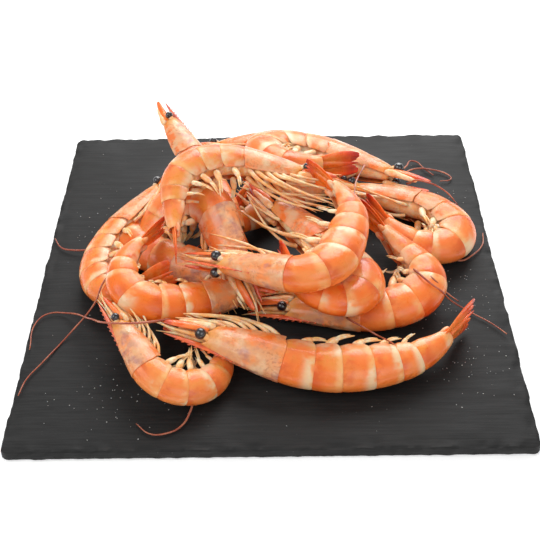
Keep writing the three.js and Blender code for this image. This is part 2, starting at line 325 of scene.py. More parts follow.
def write_mark(piece, name, values, kind="FLOAT"):
    """Stores a number, or with kind FLOAT_VECTOR a place, on every vertex."""
    layer = piece.data.attributes.get(name) or piece.data.attributes.new(name, kind, "POINT")
    key = "vector" if kind == "FLOAT_VECTOR" else "value"
    layer.data.foreach_set(key, np.asarray(values, np.float32).ravel())


def read_mark(piece, name, width=1):
    """Reads a mark back as an array, with width 3 for places."""
    values = np.zeros(len(piece.data.vertices) * width, np.float32)
    key = "vector" if width == 3 else "value"
    piece.data.attributes[name].data.foreach_get(key, values)
    return values.reshape(-1, width) if width > 1 else values


SHELL_EDGE = 130


def mark(piece, front=None, rear=None):
    """Writes along, round, rest and root. root is where a limb is fixed to the body, or -1."""
    spots = places(piece)
    front = spots[:, 0].min() if front is None else front
    rear = spots[:, 0].max() if rear is None else rear
    write_mark(piece, "along", np.clip((spots[:, 0] - front) / (rear - front), 0, 1))
    high = np.array([body_size("height", x) / 2 for x in spots[:, 0]])
    wide = np.array([body_size("width", x) / 2 for x in spots[:, 0]])
    angle = np.degrees(np.arctan2(np.abs(spots[:, 1]) / wide, spots[:, 2] / high))
    write_mark(piece, "round", np.clip(angle / SHELL_EDGE, 0, 1))
    write_mark(piece, "rest", spots * MM, "FLOAT_VECTOR")
    write_mark(piece, "root", np.full(len(spots), -1))
    return piece


print("a shell's lower edge lies", SHELL_EDGE, "degrees round from the back")


# %% [markdown]
# ## Wet skin and blotches
# All the food shares two effects: a moist surface whose gloss changes from place to place, and soft
# blotches of colour under the skin. Both are shader node groups, built once. Each material places
# them with its own scale and limits, so that legs get small blotches and head shells large ones.

# %% Helpers for shader nodes
def add(tree, kind, inputs=None, **settings):
    """Adds a shader node. An input is linked if it is a socket, and otherwise set."""
    node = tree.nodes.new("ShaderNode" + kind)
    for key, value in settings.items():
        setattr(node, key, value)
    for key, value in (inputs or {}).items():
        if isinstance(value, bpy.types.NodeSocket):
            tree.links.new(value, node.inputs[key])
        else:
            node.inputs[key].default_value = value
    return node


def blend(tree, share, under, over):
    """A colour between two others."""
    node = tree.nodes.new("ShaderNodeMix")
    node.data_type = "RGBA"
    for index, value in ((0, share), (6, under), (7, over)):
        if isinstance(value, bpy.types.NodeSocket):
            tree.links.new(value, node.inputs[index])
        else:
            node.inputs[index].default_value = value if index == 0 else (*value, 1)
    return node.outputs[2]


def ramp(tree, value, low, high, start=0.0, end=1.0):
    """Follows a value smoothly from start to end between two limits."""
    inputs = {"Value": value, "From Min": low, "From Max": high, "To Min": start, "To Max": end}
    return add(tree, "MapRange", inputs, interpolation_type="SMOOTHSTEP").outputs[0]


def times(tree, a, b):
    return add(tree, "Math", {0: a, 1: b}, operation="MULTIPLY").outputs[0]


def stain(tree, under, over, share, *masks):
    """Lays a colour over another wherever all the masks are, as strongly as share says."""
    for mask in masks:
        share = times(tree, mask, share)
    return blend(tree, share, under, over)


def shader_group(name, inputs, outputs):
    """A new node group with named sockets, and the nodes that stand for its two ends."""
    group = bpy.data.node_groups.new(name, "ShaderNodeTree")
    for label, kind, value in inputs:
        socket = group.interface.new_socket(label, in_out="INPUT", socket_type="NodeSocket" + kind)
        if value is not None:
            socket.default_value = value
    for label, kind in outputs:
        group.interface.new_socket(label, in_out="OUTPUT", socket_type="NodeSocket" + kind)
    return group, group.nodes.new("NodeGroupInput"), group.nodes.new("NodeGroupOutput")


def place(tree, group, inputs):
    """Places a node group in a material with its own values."""
    node = tree.nodes.new("ShaderNodeGroup")
    node.node_tree = group
    for key, value in inputs.items():
        if isinstance(value, bpy.types.NodeSocket):
            tree.links.new(value, node.inputs[key])
        else:
            node.inputs[key].default_value = value
    return node


def new_material(name, **values):
    """A Principled material, with uniform values set on its own sockets."""
    material = bpy.data.materials.new(name)
    material.use_nodes = True
    surface = material.node_tree.nodes["Principled BSDF"]
    for key, value in values.items():
        surface.inputs[key.replace("_", " ")].default_value = value
    return material, material.node_tree, surface


# %% Group: blotches
blotches, start, end = shader_group(
    "blotches",
    [("Place", "Vector", None), ("Size", "Float", 0.01), ("Low", "Float", 0.4), ("High", "Float", 0.6)],
    [("Mask", "Float")])
scale = add(blotches, "Math", {0: 1.0, 1: start.outputs["Size"]}, operation="DIVIDE")
noise = add(blotches, "TexNoise", {
    "Vector": start.outputs["Place"], "Scale": scale.outputs[0], "Detail": 3.0})
mask = ramp(blotches, noise.outputs["Fac"], start.outputs["Low"], start.outputs["High"])
blotches.links.new(mask, end.inputs["Mask"])

# %% Group: moist skin
moist, start, end = shader_group(
    "moist_skin",
    [("Place", "Vector", None), ("Grain", "Float", 0.001), ("Dry", "Float", 0.5), ("Wet", "Float", 0.2)],
    [("Roughness", "Float"), ("Height", "Float")])
fine = add(moist, "Math", {0: 1.0, 1: start.outputs["Grain"]}, operation="DIVIDE")
coarse = times(moist, fine.outputs[0], 0.15)
pits = add(moist, "TexNoise", {
    "Vector": start.outputs["Place"], "Scale": fine.outputs[0], "Detail": 4.0})
patches = add(moist, "TexNoise", {
    "Vector": start.outputs["Place"], "Scale": coarse, "Detail": 2.0})
gloss = ramp(moist, patches.outputs["Fac"], 0.35, 0.65, start.outputs["Dry"], start.outputs["Wet"])
moist.links.new(gloss, end.inputs["Roughness"])
moist.links.new(pits.outputs["Fac"], end.inputs["Height"])
print("node groups:", [group.name for group in bpy.data.node_groups])

# %% [markdown]
# ## The shells' colours
# A cooked shell is thin and a little see-through, so light that enters it comes out orange: the
# Principled shader's subsurface does that. Each tail shell runs from a deep orange front, through
# salmon, to a cream rear rim, and its lower lobes are nearly white. The head shell is paler and
# mottled, with orange patches low down and purple ones near the beak.

# %% Colours of the food
SALMON = (0.94, 0.235, 0.045)
ORANGE = (0.93, 0.155, 0.008)
DEEP = (0.66, 0.075, 0.004)
PEACH = (0.76, 0.29, 0.12)
CREAM = (0.94, 0.45, 0.17)
MILK = (0.86, 0.58, 0.36)
PINK = (0.92, 0.29, 0.10)
AMBER = (0.82, 0.30, 0.04)
PURPLE = (0.42, 0.16, 0.15)
RUST = (0.40, 0.09, 0.03)
RED = (0.70, 0.05, 0.015)
WINE = (0.22, 0.015, 0.02)
STRAW = (0.88, 0.68, 0.43)
HORN = (0.70, 0.10, 0.03)
PUPIL = (0.004, 0.004, 0.006)
EYE_DUST = (0.035, 0.03, 0.035)
FEELER_DARK = (0.28, 0.06, 0.03)
FEELER_LIGHT = (0.46, 0.15, 0.08)
SKIN_DEPTH = 4 * MM
SKIN_RELIEF = 0.4 * MM
SCATTER = (1.0, 0.35, 0.15)


def food_material(name, grain, bump, dry=0.5, wet=0.24, glow=0.25):
    """The moist, slightly see-through skin that every edible surface has, still without colour."""
    material, tree, surface = new_material(
        name, Subsurface_Weight=glow, Subsurface_Scale=SKIN_DEPTH, IOR=1.42, Coat_Weight=0.25,
        Coat_Roughness=0.12)
    surface.inputs["Subsurface Radius"].default_value = SCATTER
    rest = add(tree, "Attribute", attribute_name="rest").outputs["Vector"]
    skin = place(tree, moist, {"Place": rest, "Grain": grain, "Dry": dry, "Wet": wet})
    tree.links.new(skin.outputs["Roughness"], surface.inputs["Roughness"])
    height = skin.outputs["Height"]
    relief = add(tree, "Bump", {"Height": height, "Strength": bump, "Distance": SKIN_RELIEF})
    tree.links.new(relief.outputs["Normal"], surface.inputs["Normal"])
    return material, tree, surface, rest


def mottle(tree, rest, size, low, high):
    """Blotches of one size, in metres. They cover more of the skin where low and high are small."""
    return place(tree, blotches, {"Place": rest, "Size": size, "Low": low, "High": high}).outputs["Mask"]


def fact(tree, name):
    """A mark on the vertices, as a number."""
    return add(tree, "Attribute", attribute_name=name).outputs["Fac"]


print("light goes", SKIN_DEPTH / MM, "mm into the skin")


# %% Tail shell material
tail_skin, tree, surface, rest = food_material("tail_shell", 0.0012, 0.35)
along, around, pale = fact(tree, "along"), fact(tree, "round"), fact(tree, "pale")
front, rear = ramp(tree, along, 0.55, 0.12), ramp(tree, along, 0.70, 0.92)
saddle, lobe = ramp(tree, around, 0.35, 0.75), ramp(tree, around, 0.72, 0.95)
rear_half = ramp(tree, along, 0.55, 0.90)
cells = add(tree, "TexVoronoi", {"Vector": rest, "Scale": 420.0}).outputs["Distance"]
colour = blend(tree, mottle(tree, rest, 0.011, 0.42, 0.70), ORANGE, SALMON)
colour = blend(tree, pale, colour, PINK)
colour = stain(tree, colour, DEEP, 0.7, front, mottle(tree, rest, 0.009, 0.40, 0.58))
colour = stain(tree, colour, AMBER, 0.55, saddle, mottle(tree, rest, 0.006, 0.45, 0.62))
colour = stain(tree, colour, CREAM, 0.75, rear, mottle(tree, rest, 0.007, 0.30, 0.60))
colour = stain(tree, colour, MILK, 0.7, lobe, mottle(tree, rest, 0.010, 0.35, 0.60))
colour = stain(tree, colour, MILK, 0.7, rear_half, mottle(tree, rest, 0.014, 0.52, 0.60))
colour = stain(tree, colour, RED, 0.25, ramp(tree, cells, 0.20, 0.05))
tree.links.new(colour, surface.inputs["Base Color"])
print(tail_skin.name, "has", len(tree.nodes), "nodes")

# %% Head shell material
head_skin, tree, surface, rest = food_material("head_shell", 0.0011, 0.4)
along, around, pale = fact(tree, "along"), fact(tree, "round"), fact(tree, "pale")
flank, crown = ramp(tree, around, 0.45, 0.85), ramp(tree, around, 0.85, 0.30)
nose = ramp(tree, along, 0.30, 0.05)
freckled = mottle(tree, rest, 0.012, 0.42, 0.60)
colour = blend(tree, mottle(tree, rest, 0.010, 0.40, 0.60), SALMON, PEACH)
colour = stain(tree, colour, MILK, 0.55, pale)
colour = stain(tree, colour, ORANGE, 0.85, flank, mottle(tree, rest, 0.008, 0.42, 0.56))
colour = stain(tree, colour, MILK, 0.5, mottle(tree, rest, 0.009, 0.50, 0.66))
colour = stain(tree, colour, PURPLE, 0.7, crown, mottle(tree, rest, 0.007, 0.46, 0.70))
colour = stain(tree, colour, RUST, 0.4, freckled, mottle(tree, rest, 0.0016, 0.50, 0.62))
colour = stain(tree, colour, AMBER, 0.7, nose)
tree.links.new(colour, surface.inputs["Base Color"])
print(head_skin.name, "has", len(tree.nodes), "nodes")

# %% Fan leaf and beak materials
fan_skin, tree, surface, rest = food_material("fan_leaf", 0.0008, 0.5)
along, deep = fact(tree, "along"), fact(tree, "deep")
streaks = ramp(tree, mottle(tree, rest, 0.005, 0.25, 0.55), 0.0, 1.0, 0.5, 1.0)
end_blotches = mottle(tree, rest, 0.005, 0.35, 0.55)
colour = blend(tree, mottle(tree, rest, 0.004, 0.35, 0.60), SALMON, ORANGE)
colour = stain(tree, colour, RED, deep, ramp(tree, along, 0.35, 0.85), streaks)
colour = stain(tree, colour, WINE, 0.8, ramp(tree, along, 0.62, 0.98), end_blotches, deep)
tree.links.new(colour, surface.inputs["Base Color"])

horn_skin, tree, surface, rest = food_material("beak_horn", 0.0008, 0.3)
colour = blend(tree, mottle(tree, rest, 0.004, 0.35, 0.60), ORANGE, HORN)
colour = stain(tree, colour, PURPLE, 0.8, fact(tree, "pale"))
tree.links.new(colour, surface.inputs["Base Color"])
print("leaf and beak:", fan_skin.name, horn_skin.name)

# %% Limb, eye and feeler materials
limb_skin, tree, surface, rest = food_material("limb_skin", 0.0006, 0.4, glow=0.35)
colour = blend(tree, mottle(tree, rest, 0.005, 0.35, 0.62), STRAW, CREAM)
colour = stain(tree, colour, AMBER, 0.55, mottle(tree, rest, 0.008, 0.50, 0.66))
colour = stain(tree, colour, PURPLE, 0.35, mottle(tree, rest, 0.0035, 0.56, 0.66))
tree.links.new(colour, surface.inputs["Base Color"])

eye_black, tree, surface, rest = food_material("eye_black", 0.0005, 0.25, dry=0.3, wet=0.12, glow=0.0)
colour = blend(tree, mottle(tree, rest, 0.002, 0.40, 0.70), PUPIL, EYE_DUST)
tree.links.new(colour, surface.inputs["Base Color"])
surface.inputs["Coat Weight"].default_value = 1.0

feeler_red, tree, surface, rest = food_material("feeler_red", 0.0005, 0.3)
colour = blend(tree, mottle(tree, rest, 0.012, 0.35, 0.65), FEELER_DARK, FEELER_LIGHT)
tree.links.new(colour, surface.inputs["Base Color"])
print("materials:", [material.name for material in bpy.data.materials])

# %% [markdown]
# ## Tail shells
# Six shells cover the tail like the plates of a suit of armour. The front of each is tucked under
# the one before it, and its rear rim stands over the next, which gives the fine dark line at every
# joint. An arch is pulled along the body for each shell; the sheet gets a wall, and one subdivision
# rounds the lobes at its lower corners.

# %% Tail shells
SHELL_ENDS = [62, 77, 90, 105, 118, 128, 147]
SHELL_SPREAD = 276
SHELL_STEPS = 22
# Share of the shell's length, and how far the shell stands out from the body there
SHELL_SWELL = [
    (-0.16, -0.9), (0.0, -0.45), (0.10, 0.12), (0.30, 0.27),
    (0.60, 0.36), (0.85, 0.33), (1.0, 0.22), (1.07, 0.08),
]
# How low on the flank a lobe starts to narrow, as a share of the body's height, and how much
LOBE_STEPS = [(-0.15, 0.96), (-0.24, 0.92), (-0.31, 0.86), (-0.36, 0.80)]
LOBE_CENTRE = 0.55
SHELL_OVERHANG = 0.8


def tail_shell(number, front, rear):
    """One shell from its front, under the shell before it, to its rear, over the next."""
    rows = []
    for share, swell in SHELL_SWELL:
        at = front + share * (rear - front)
        wide, high = body_size("width", at) / 2 + swell, body_size("height", at) / 2 + swell
        rows.append((at, wide, high))
    shell = pull_arch(f"tail_shell_{number}", rows, SHELL_SPREAD, SHELL_STEPS)
    middle = (front + LOBE_CENTRE * (rear - front)) * MM
    for low, narrow in LOBE_STEPS:
        pick(shell, lambda spot: spot.z < low * body_size("height", spot.x))
        bpy.ops.transform.resize(value=(narrow, 1, 1), center_override=(middle, 0, 0))
    leave_edit()
    thicken(shell, SHELL_WALL)
    mark(shell, front, rear + SHELL_OVERHANG)
    shell.data.materials.append(tail_skin)
    return smooth(shell)


shells = [
    tail_shell(number + 1, front, rear)
    for number, (front, rear) in enumerate(zip(SHELL_ENDS, SHELL_ENDS[1:]))]
print("tail shells:", len(shells), "with", sum(len(s.data.polygons) for s in shells), "faces")

# %% [markdown]
# ## Head shell and beak
# The head shell is one long arch with a notch for each eye, and a groove on its cheek. A real one
# has a spiny ridge that runs out between the eyes as a beak with teeth. The ridge is a thin ring
# pulled forwards, and its teeth are one cone, placed again and again along the ridge.

# %% Head shell
HEAD_ROWS = [
    (22, 3.9, 5.6), (25, 4.7, 6.5), (29, 5.7, 7.5), (34, 6.5, 8.7), (39, 7.3, 9.6), (45, 8.1, 10.7),
    (51, 8.7, 11.5), (57, 9.1, 12.1), (62, 9.4, 12.6), (63.4, 9.5, 12.7),
]
HEAD_SPREAD = 280
HEAD_STEPS = 26
# The groove on the cheek: where it starts, how fast it bends back, how low it reaches, half its
# width, how far it keeps from the back, and how deep it is pressed in
GROOVE = {"start": 33, "bend": 0.09, "low": -4, "half": 0.9, "side": 1.5, "press": (1, 0.93, 0.95)}
GROOVE_CENTRE = (38 * MM, 0, 0)


def slide(piece, test, move, reach):
    """Moves the vertices that pass a test, and their neighbours a little, in millimetres."""
    pick(piece, test)
    bpy.ops.transform.translate(
        value=[m * MM for m in move], use_proportional_edit=True,
        proportional_edit_falloff="SMOOTH", proportional_size=reach * MM)
    leave_edit()


def on_groove(spot):
    """The cheek groove: a curve that starts low behind the eye and climbs towards the back."""
    line = GROOVE["start"] + GROOVE["bend"] * (spot.z + 3) ** 2
    near = abs(spot.x - line) < GROOVE["half"]
    return near and spot.z > GROOVE["low"] and abs(spot.y) > GROOVE["side"]


head = pull_arch("head_shell", HEAD_ROWS, HEAD_SPREAD, HEAD_STEPS)
# The notches for the eyes, the mouth, the ridge along the back and the lower rear corners
slide(head, lambda spot: spot.x < 23 and 1.5 < spot.z < 4.5, (3.0, 0, 0), 3)
slide(head, lambda spot: spot.x < 23 and spot.z < -2.5, (5.0, 0, 0.6), 4)
slide(head, lambda spot: spot.x < 50 and abs(spot.y) < 0.5 and spot.z > 0, (0, 0, 0.5), 1.5)
slide(head, lambda spot: spot.x > 60 and spot.z < -6, (-2.2, 0, 0.5), 5)
smooth(head)
pick(head, on_groove)
bpy.ops.transform.resize(value=GROOVE["press"], center_override=GROOVE_CENTRE)
leave_edit()
thicken(head, SHELL_WALL)
mark(head, 22, 64)
head.data.materials.append(head_skin)
smooth(head)
print("head shell:", len(head.data.polygons), "faces")

# %% Beak with its teeth
BEAK_ROWS = [
    (48, 0.5, 0.7, 0, 10.7), (41, 0.7, 1.3, 0, 9.1), (34, 0.8, 1.7, 0, 8.1), (27, 0.8, 1.9, 0, 7.2),
    (20, 0.7, 1.8, 0, 6.5), (13, 0.6, 1.3, 0, 6.0), (7, 0.4, 0.8, 0, 5.8), (2.5, 0.12, 0.2, 0, 5.9),
]
TEETH = [44, 39.5, 35.5, 31.5, 27.5, 24, 20.5, 17, 13.5, 10]
TOOTH_LENGTH = 2.2
TOOTH_RADIUS = 0.75
TOOTH_POINT = 0.04
TOOTH_LIFT = 0.3
TOOTH_LEAN = 66

beak = pull_ring("beak", BEAK_ROWS, 8)
tops = [row[0] for row in BEAK_ROWS][::-1], [row[4] + row[2] for row in BEAK_ROWS][::-1]
pieces = [beak]
for at in TEETH:
    bpy.ops.object.select_all(action="DESELECT")
    bpy.ops.mesh.primitive_cone_add(
        vertices=6, radius1=TOOTH_RADIUS * MM, radius2=TOOTH_POINT * MM, depth=TOOTH_LENGTH * MM,
        location=(at * MM, 0, (float(np.interp(at, *tops)) + TOOTH_LIFT) * MM),
        rotation=(0, -math.radians(TOOTH_LEAN), 0))
    bpy.ops.object.transform_apply(location=True, rotation=True)
    pieces.append(bpy.context.object)
beak = mark(merged(pieces, "beak"), 48, 0)
beak.data.materials.append(horn_skin)
smooth(beak)
print("teeth on the beak:", len(TEETH))

# %% [markdown]
# ## Blades, tail fan and the tips of the head
# Beside the beak lie two flat blades, and the tail ends in a pointed middle piece with two leaves
# on either side. All of them are thin, slightly arched leaves, so one helper draws them: a shallow
# arch whose width swells and shrinks. Each is fixed at its root, and opens there later on.

# %% A leaf, and the mirror copy of a piece
LEAF_STEPS = 8


def leaf(name, rows, spread, facing, material, wall=SHELL_WALL, front=None, rear=None):
    """A thin arched leaf through its rows, with a wall, its marks and its material."""
    piece = thicken(pull_arch(name, rows, spread, LEAF_STEPS, facing), wall)
    mark(piece, front, rear)
    piece.data.materials.append(material)
    return smooth(piece)


def mirrored(piece):
    """A copy of a piece on the other side of the body, with its faces turned out again."""
    only(piece)
    bpy.ops.object.duplicate(linked=False)
    twin = bpy.context.object
    twin.name = piece.name + "_left"
    spots = places(twin) * MM * (1, -1, 1)
    twin.data.vertices.foreach_set("co", spots.ravel())
    edit_all(twin)
    bpy.ops.mesh.flip_normals()
    leave_edit()
    mark_again(twin)
    return twin


def mark_again(piece):
    """Mirrors the marks that have a side."""
    rest = read_mark(piece, "rest", 3)
    write_mark(piece, "rest", rest * (1, -1, 1), "FLOAT_VECTOR")
    if "pivot" in piece.data.attributes:
        pivot = read_mark(piece, "pivot", 3)
        write_mark(piece, "pivot", pivot * (1, -1, 1), "FLOAT_VECTOR")
        write_mark(piece, "side", -read_mark(piece, "side"))


# %% Limbs
# Walking legs have the numbers 0 to 5 and paddles those from FIRST_PADDLE on
MOUTH_PARTS = 7
FIRST_PADDLE = 10
BLADE = 20
OUTER_LEAF = 21
INNER_LEAF = 22


def limb_of(piece, number, root, pivot):
    """Says that a piece is a limb: its number, where it is fixed, and the point it turns about."""
    count = len(piece.data.vertices)
    write_mark(piece, "limb", np.full(count, number))
    write_mark(piece, "side", np.ones(count))
    write_mark(piece, "root", np.full(count, root))
    write_mark(piece, "pivot", np.tile(np.array(pivot) * MM, (count, 1)), "FLOAT_VECTOR")
    return piece


print("limbs that aren't legs start at number", MOUTH_PARTS)

# %% Blades beside the beak
BLADE_SPREAD = 130
BLADE_FACING = 98
BLADE_ROWS = [
    (24, 1.3, 1.7, 3.0, -0.8), (19, 1.9, 2.5, 2.9, -0.6), (13, 2.0, 2.7, 2.2, -0.1),
    (7, 1.6, 2.4, 1.5, 0.4), (3, 1.0, 1.7, 1.2, 0.8), (0.8, 0.5, 0.8, 1.1, 1.1),
]
blade = leaf("blade", BLADE_ROWS, BLADE_SPREAD, BLADE_FACING, fan_skin, front=26, rear=0)
limb_of(blade, BLADE, -1, (24, 3, -1))
blades = [blade, mirrored(blade)]
print("blades:", len(blades))

# %% Tail fan
MIDDLE_ROWS = [
    (144.5, 3.0, 2.6, 0, 0.2), (149, 3.1, 1.8, 0, 0.5), (156, 2.4, 1.3, 0, 0.6),
    (163, 1.4, 0.8, 0, 0.5), (167.5, 0.6, 0.4, 0, 0.4), (169.3, 0.15, 0.15, 0, 0.4),
]
OUTER_ROWS = [
    (146, 2.2, 1.4, 2.6, -1.0), (150, 3.8, 2.2, 2.8, -1.4), (156, 4.9, 2.8, 3.0, -2.0),
    (162, 4.9, 2.8, 3.0, -2.1), (167, 3.5, 2.0, 3.0, -1.5), (169.6, 1.5, 1.0, 2.9, -0.7),
]
INNER_ROWS = [
    (146.5, 1.8, 1.1, 1.9, -1.0), (151, 3.0, 1.7, 2.0, -1.1), (157, 3.8, 2.0, 2.1, -1.3),
    (162, 3.5, 1.9, 2.1, -1.2), (166, 2.4, 1.3, 2.1, -0.8), (168, 1.1, 0.8, 2.0, -0.4),
]
KNUCKLE_ROWS = [
    (143.5, 1.4, 1.6, 3.0, -1.0), (146, 2.2, 2.2, 3.2, -1.2),
    (149, 2.0, 1.8, 3.4, -1.4), (151, 0.8, 0.8, 3.6, -1.4),
]
FAN_SPREAD = 80
FAN_WALL = 0.6
FAN_ENDS = (146, 171)
FAN_HINGE = 147

middle = smooth(mark(pull_ring("middle_leaf", MIDDLE_ROWS, 8), *FAN_ENDS))
middle.data.materials.append(fan_skin)
outer = leaf("outer_leaf", OUTER_ROWS, FAN_SPREAD, 0, fan_skin, FAN_WALL, *FAN_ENDS)
limb_of(outer, OUTER_LEAF, FAN_HINGE, (FAN_HINGE, 2.4, 0))
inner = leaf("inner_leaf", INNER_ROWS, FAN_SPREAD, 0, fan_skin, FAN_WALL, *FAN_ENDS)
limb_of(inner, INNER_LEAF, FAN_HINGE, (FAN_HINGE, 1.8, 0))
knuckle = smooth(mark(pull_ring("knuckle", KNUCKLE_ROWS, 8)))
knuckle.data.materials.append(tail_skin)
fan = [middle, outer, mirrored(outer), inner, mirrored(inner), knuckle, mirrored(knuckle)]
print("fan leaves:", len(fan))

# %% [markdown]
# ## Legs and paddles
# A limb is a chain of tapered tubes. A skin modifier could grow one over a chain of edges, but its
# ends come out blunt, so each leg is a curve with a round section whose radius shrinks from knee
# to knee, and which is then turned into a mesh. A paddle is a stout stalk with two narrow blades.

# %% Helpers for limbs and feelers
LINE_SECTION = 2
LIMB_BENDS = 4


def round_line(name, kind):
    """A curve with a round section, whose radius is 1 mm times that of each point, and its spline."""
    line = bpy.data.curves.new(name, "CURVE")
    line.dimensions = "3D"
    line.bevel_depth = MM
    line.bevel_resolution = LINE_SECTION
    line.use_fill_caps = True
    return line, line.splines.new(kind)


def as_mesh(name, line):
    """Turns a curve into a piece with a mesh."""
    piece = bpy.data.objects.new(name, line)
    bpy.context.scene.collection.objects.link(piece)
    only(piece)
    bpy.ops.object.convert(target="MESH")
    piece = bpy.context.object
    piece.name = name
    return piece


def limb_tube(name, stops, radii):
    """A tube through some places, in millimetres, with its own radius at each."""
    line, spline = round_line(name, "NURBS")
    spline.points.add(len(stops) - 1)
    for point, stop, radius in zip(spline.points, stops, radii):
        point.co = (*(Vector(stop) * MM), 1)
        point.radius = radius
    spline.use_endpoint_u = True
    spline.order_u = 3
    spline.resolution_u = LIMB_BENDS
    return faces_out(as_mesh(name, line))


print("limbs have", LIMB_BENDS, "steps between two places")

# %% Walking legs
# Root on the body, length, how far the knee drops, how far the end hangs down, thickness
LEGS = [
    (30, 27, 1.2, -5.0, 0.60), (36, 29, 1.6, -6.0, 0.60), (41, 34, 2.2, -7.0, 0.65),
    (46, 41, 2.8, -7.5, 0.65), (52, 42, 3.2, -8.5, 0.70), (57, 43, 3.2, -10.0, 0.70),
]
# Share of the length, share of the knee's drop, distance from the middle, radius
LEG_SHAPE = [
    (-0.03, -0.6, 3.4, 2.1), (0.08, 0.5, 4.4, 1.8), (0.22, 0.9, 5.0, 1.25), (0.40, 1.1, 4.9, 1.05),
    (0.44, 1.1, 4.9, 1.25), (0.60, 0.9, 4.4, 0.85), (0.64, 0.8, 4.3, 1.0), (0.80, 0.4, 3.6, 0.7),
    (0.85, 0.3, 3.4, 0.8), (1.0, 0.0, 2.6, 0.12),
]
LEG_SUNK = 1.2


def walking_leg(number, root, length, drop, end, thick):
    """A leg that runs forwards under the head, with thicker joints."""
    belly = -body_size("height", root) / 2 + LEG_SUNK
    stops = []
    for share, bend, aside, _ in LEG_SHAPE:
        line = belly + (end - belly) * max(share, 0)
        stops.append((root - share * length, aside, line - drop * bend))
    leg = limb_tube(f"leg_{number}", stops, [row[3] * thick for row in LEG_SHAPE])
    mark(leg, root + 2, root - length)
    leg.data.materials.append(limb_skin)
    return limb_of(leg, number, -1, (root, 3.4, belly))


legs = [walking_leg(number, *leg) for number, leg in enumerate(LEGS)]
legs += [mirrored(leg) for leg in legs]
print("walking legs:", len(legs))

# %% Swimming paddles
PADDLES = [(69, 11), (83, 12), (97, 11.5), (111, 9.5), (123, 7)]
FULL_PADDLE = 12
PADDLE_SIDE = 4.6
PADDLE_SUNK = 3.5
STALK_ROWS = [(0, 1.6, 1.8), (2, 1.9, 2.5), (6, 1.7, 2.6), (9, 1.3, 2.0), (10.5, 0.5, 1.0)]
# Distance from the middle, length and half width of a paddle's two vanes
VANES = [(0.8, 13.5, 2.0), (-0.6, 11.0, 1.5)]
VANE_ROOT = 8.5
VANE_HINGE = 9.5
VANE_WALL = 0.35
VANE_SPREAD = 110
VANE_STEPS = 4
VANE_FACING = 90
VANE_BEND = 14
PADDLE_TURN = -100


def vane_rows(aside, length, wide):
    """A vane that is widest in the middle and ends in a point."""
    return [
        (VANE_ROOT, wide * 0.4, 0.7, 0, aside),
        (VANE_ROOT + 2.5, wide * 0.9, 0.9, 0, aside),
        (VANE_ROOT + length * 0.5, wide, 0.9, 0, aside),
        (VANE_ROOT + length * 0.8, wide * 0.6, 0.6, 0, aside),
        (VANE_ROOT + length, wide * 0.12, 0.2, 0, aside),
    ]


def swimming_paddle(number, root, deep):
    """A stalk and two vanes, drawn along the body and turned down at the root."""
    top = -body_size("height", root) / 2 + PADDLE_SUNK
    size = deep / FULL_PADDLE
    parts = [smooth(pull_ring("stalk", STALK_ROWS, 8))]
    for measures in VANES:
        sheet = pull_arch("vane", vane_rows(*measures), VANE_SPREAD, VANE_STEPS, VANE_FACING)
        vane = thicken(sheet, VANE_WALL)
        pick(vane, lambda spot: spot.x > VANE_HINGE)
        bpy.ops.transform.rotate(
            value=math.radians(VANE_BEND), orient_axis="Y", center_override=(VANE_HINGE * MM, 0, 0))
        leave_edit()
        parts.append(smooth(vane))
    paddle = merged(parts, f"paddle_{number}")
    edit_all(paddle)
    bpy.ops.transform.resize(value=(size, size, size), center_override=(0, 0, 0))
    bpy.ops.transform.rotate(
        value=math.radians(PADDLE_TURN), orient_axis="Y", center_override=(0, 0, 0))
    bpy.ops.transform.translate(value=(root * MM, PADDLE_SIDE * MM, top * MM))
    leave_edit()
    mark(paddle)
    write_mark(paddle, "along", np.clip((top - places(paddle)[:, 2]) / (2 * deep), 0, 1))
    paddle.data.materials.append(limb_skin)
    return limb_of(paddle, FIRST_PADDLE + number, root, (root, PADDLE_SIDE, top))


paddles = [swimming_paddle(number, *row) for number, row in enumerate(PADDLES)]
paddles += [mirrored(paddle) for paddle in paddles]
print("paddles:", len(paddles))

# %% [markdown]
# ## Belly, feeler bases and eyes
# Between the legs one sees the soft belly, with a fold at every joint of the tail. At the front
# the long feelers leave from two stout bases, and two slim stalks lie between the eyes.

# %% Belly
BELLY_ENDS = (24, 147)
BELLY_SPACING = 3.5
BELLY_INSIDE = {"width": 1.5, "height": 2.2}
BELLY_LIFT = 0.6
FOLD_SPACING = 14
FOLD_HIGH = 0.7
FOLD_WIDE = 0.21


def belly_rows():
    """Rings of the belly, which swells between the folds behind the waist."""
    rows = []
    for at in np.arange(*BELLY_ENDS, BELLY_SPACING):
        wave = math.cos(2 * math.pi * (at - WAIST) / FOLD_SPACING) if at > WAIST else 0
        wide = body_size("width", at) / 2 - BELLY_INSIDE["width"] + FOLD_WIDE * wave
        high = body_size("height", at) / 2 - BELLY_INSIDE["height"] + FOLD_HIGH * wave
        rows.append((float(at), wide, high, 0, BELLY_LIFT))
    return rows


belly = smooth(mark(pull_ring("belly", belly_rows(), 14)))
belly.data.materials.append(limb_skin)
print("belly rings:", len(belly_rows()))

# %% Feeler bases, stalks and eyes
BASE_ROWS = [
    (27, 1.8, 2.0, 3.4, -3.6), (23, 2.4, 2.6, 3.7, -3.5), (19, 2.1, 2.4, 3.6, -3.1),
    (17.5, 1.6, 1.8, 3.4, -2.9), (14, 1.7, 1.8, 3.2, -2.6), (9, 1.3, 1.4, 2.8, -2.2),
    (7.5, 0.5, 0.5, 2.7, -2.1),
]
EYE_STALK_ROWS = [
    (28, 1.2, 1.3, 1.2, 3.4), (25.5, 1.7, 1.8, 2.6, 3.4), (22.5, 2.2, 2.2, 4.0, 3.2),
    (21.5, 1.6, 1.6, 4.3, 3.2),
]
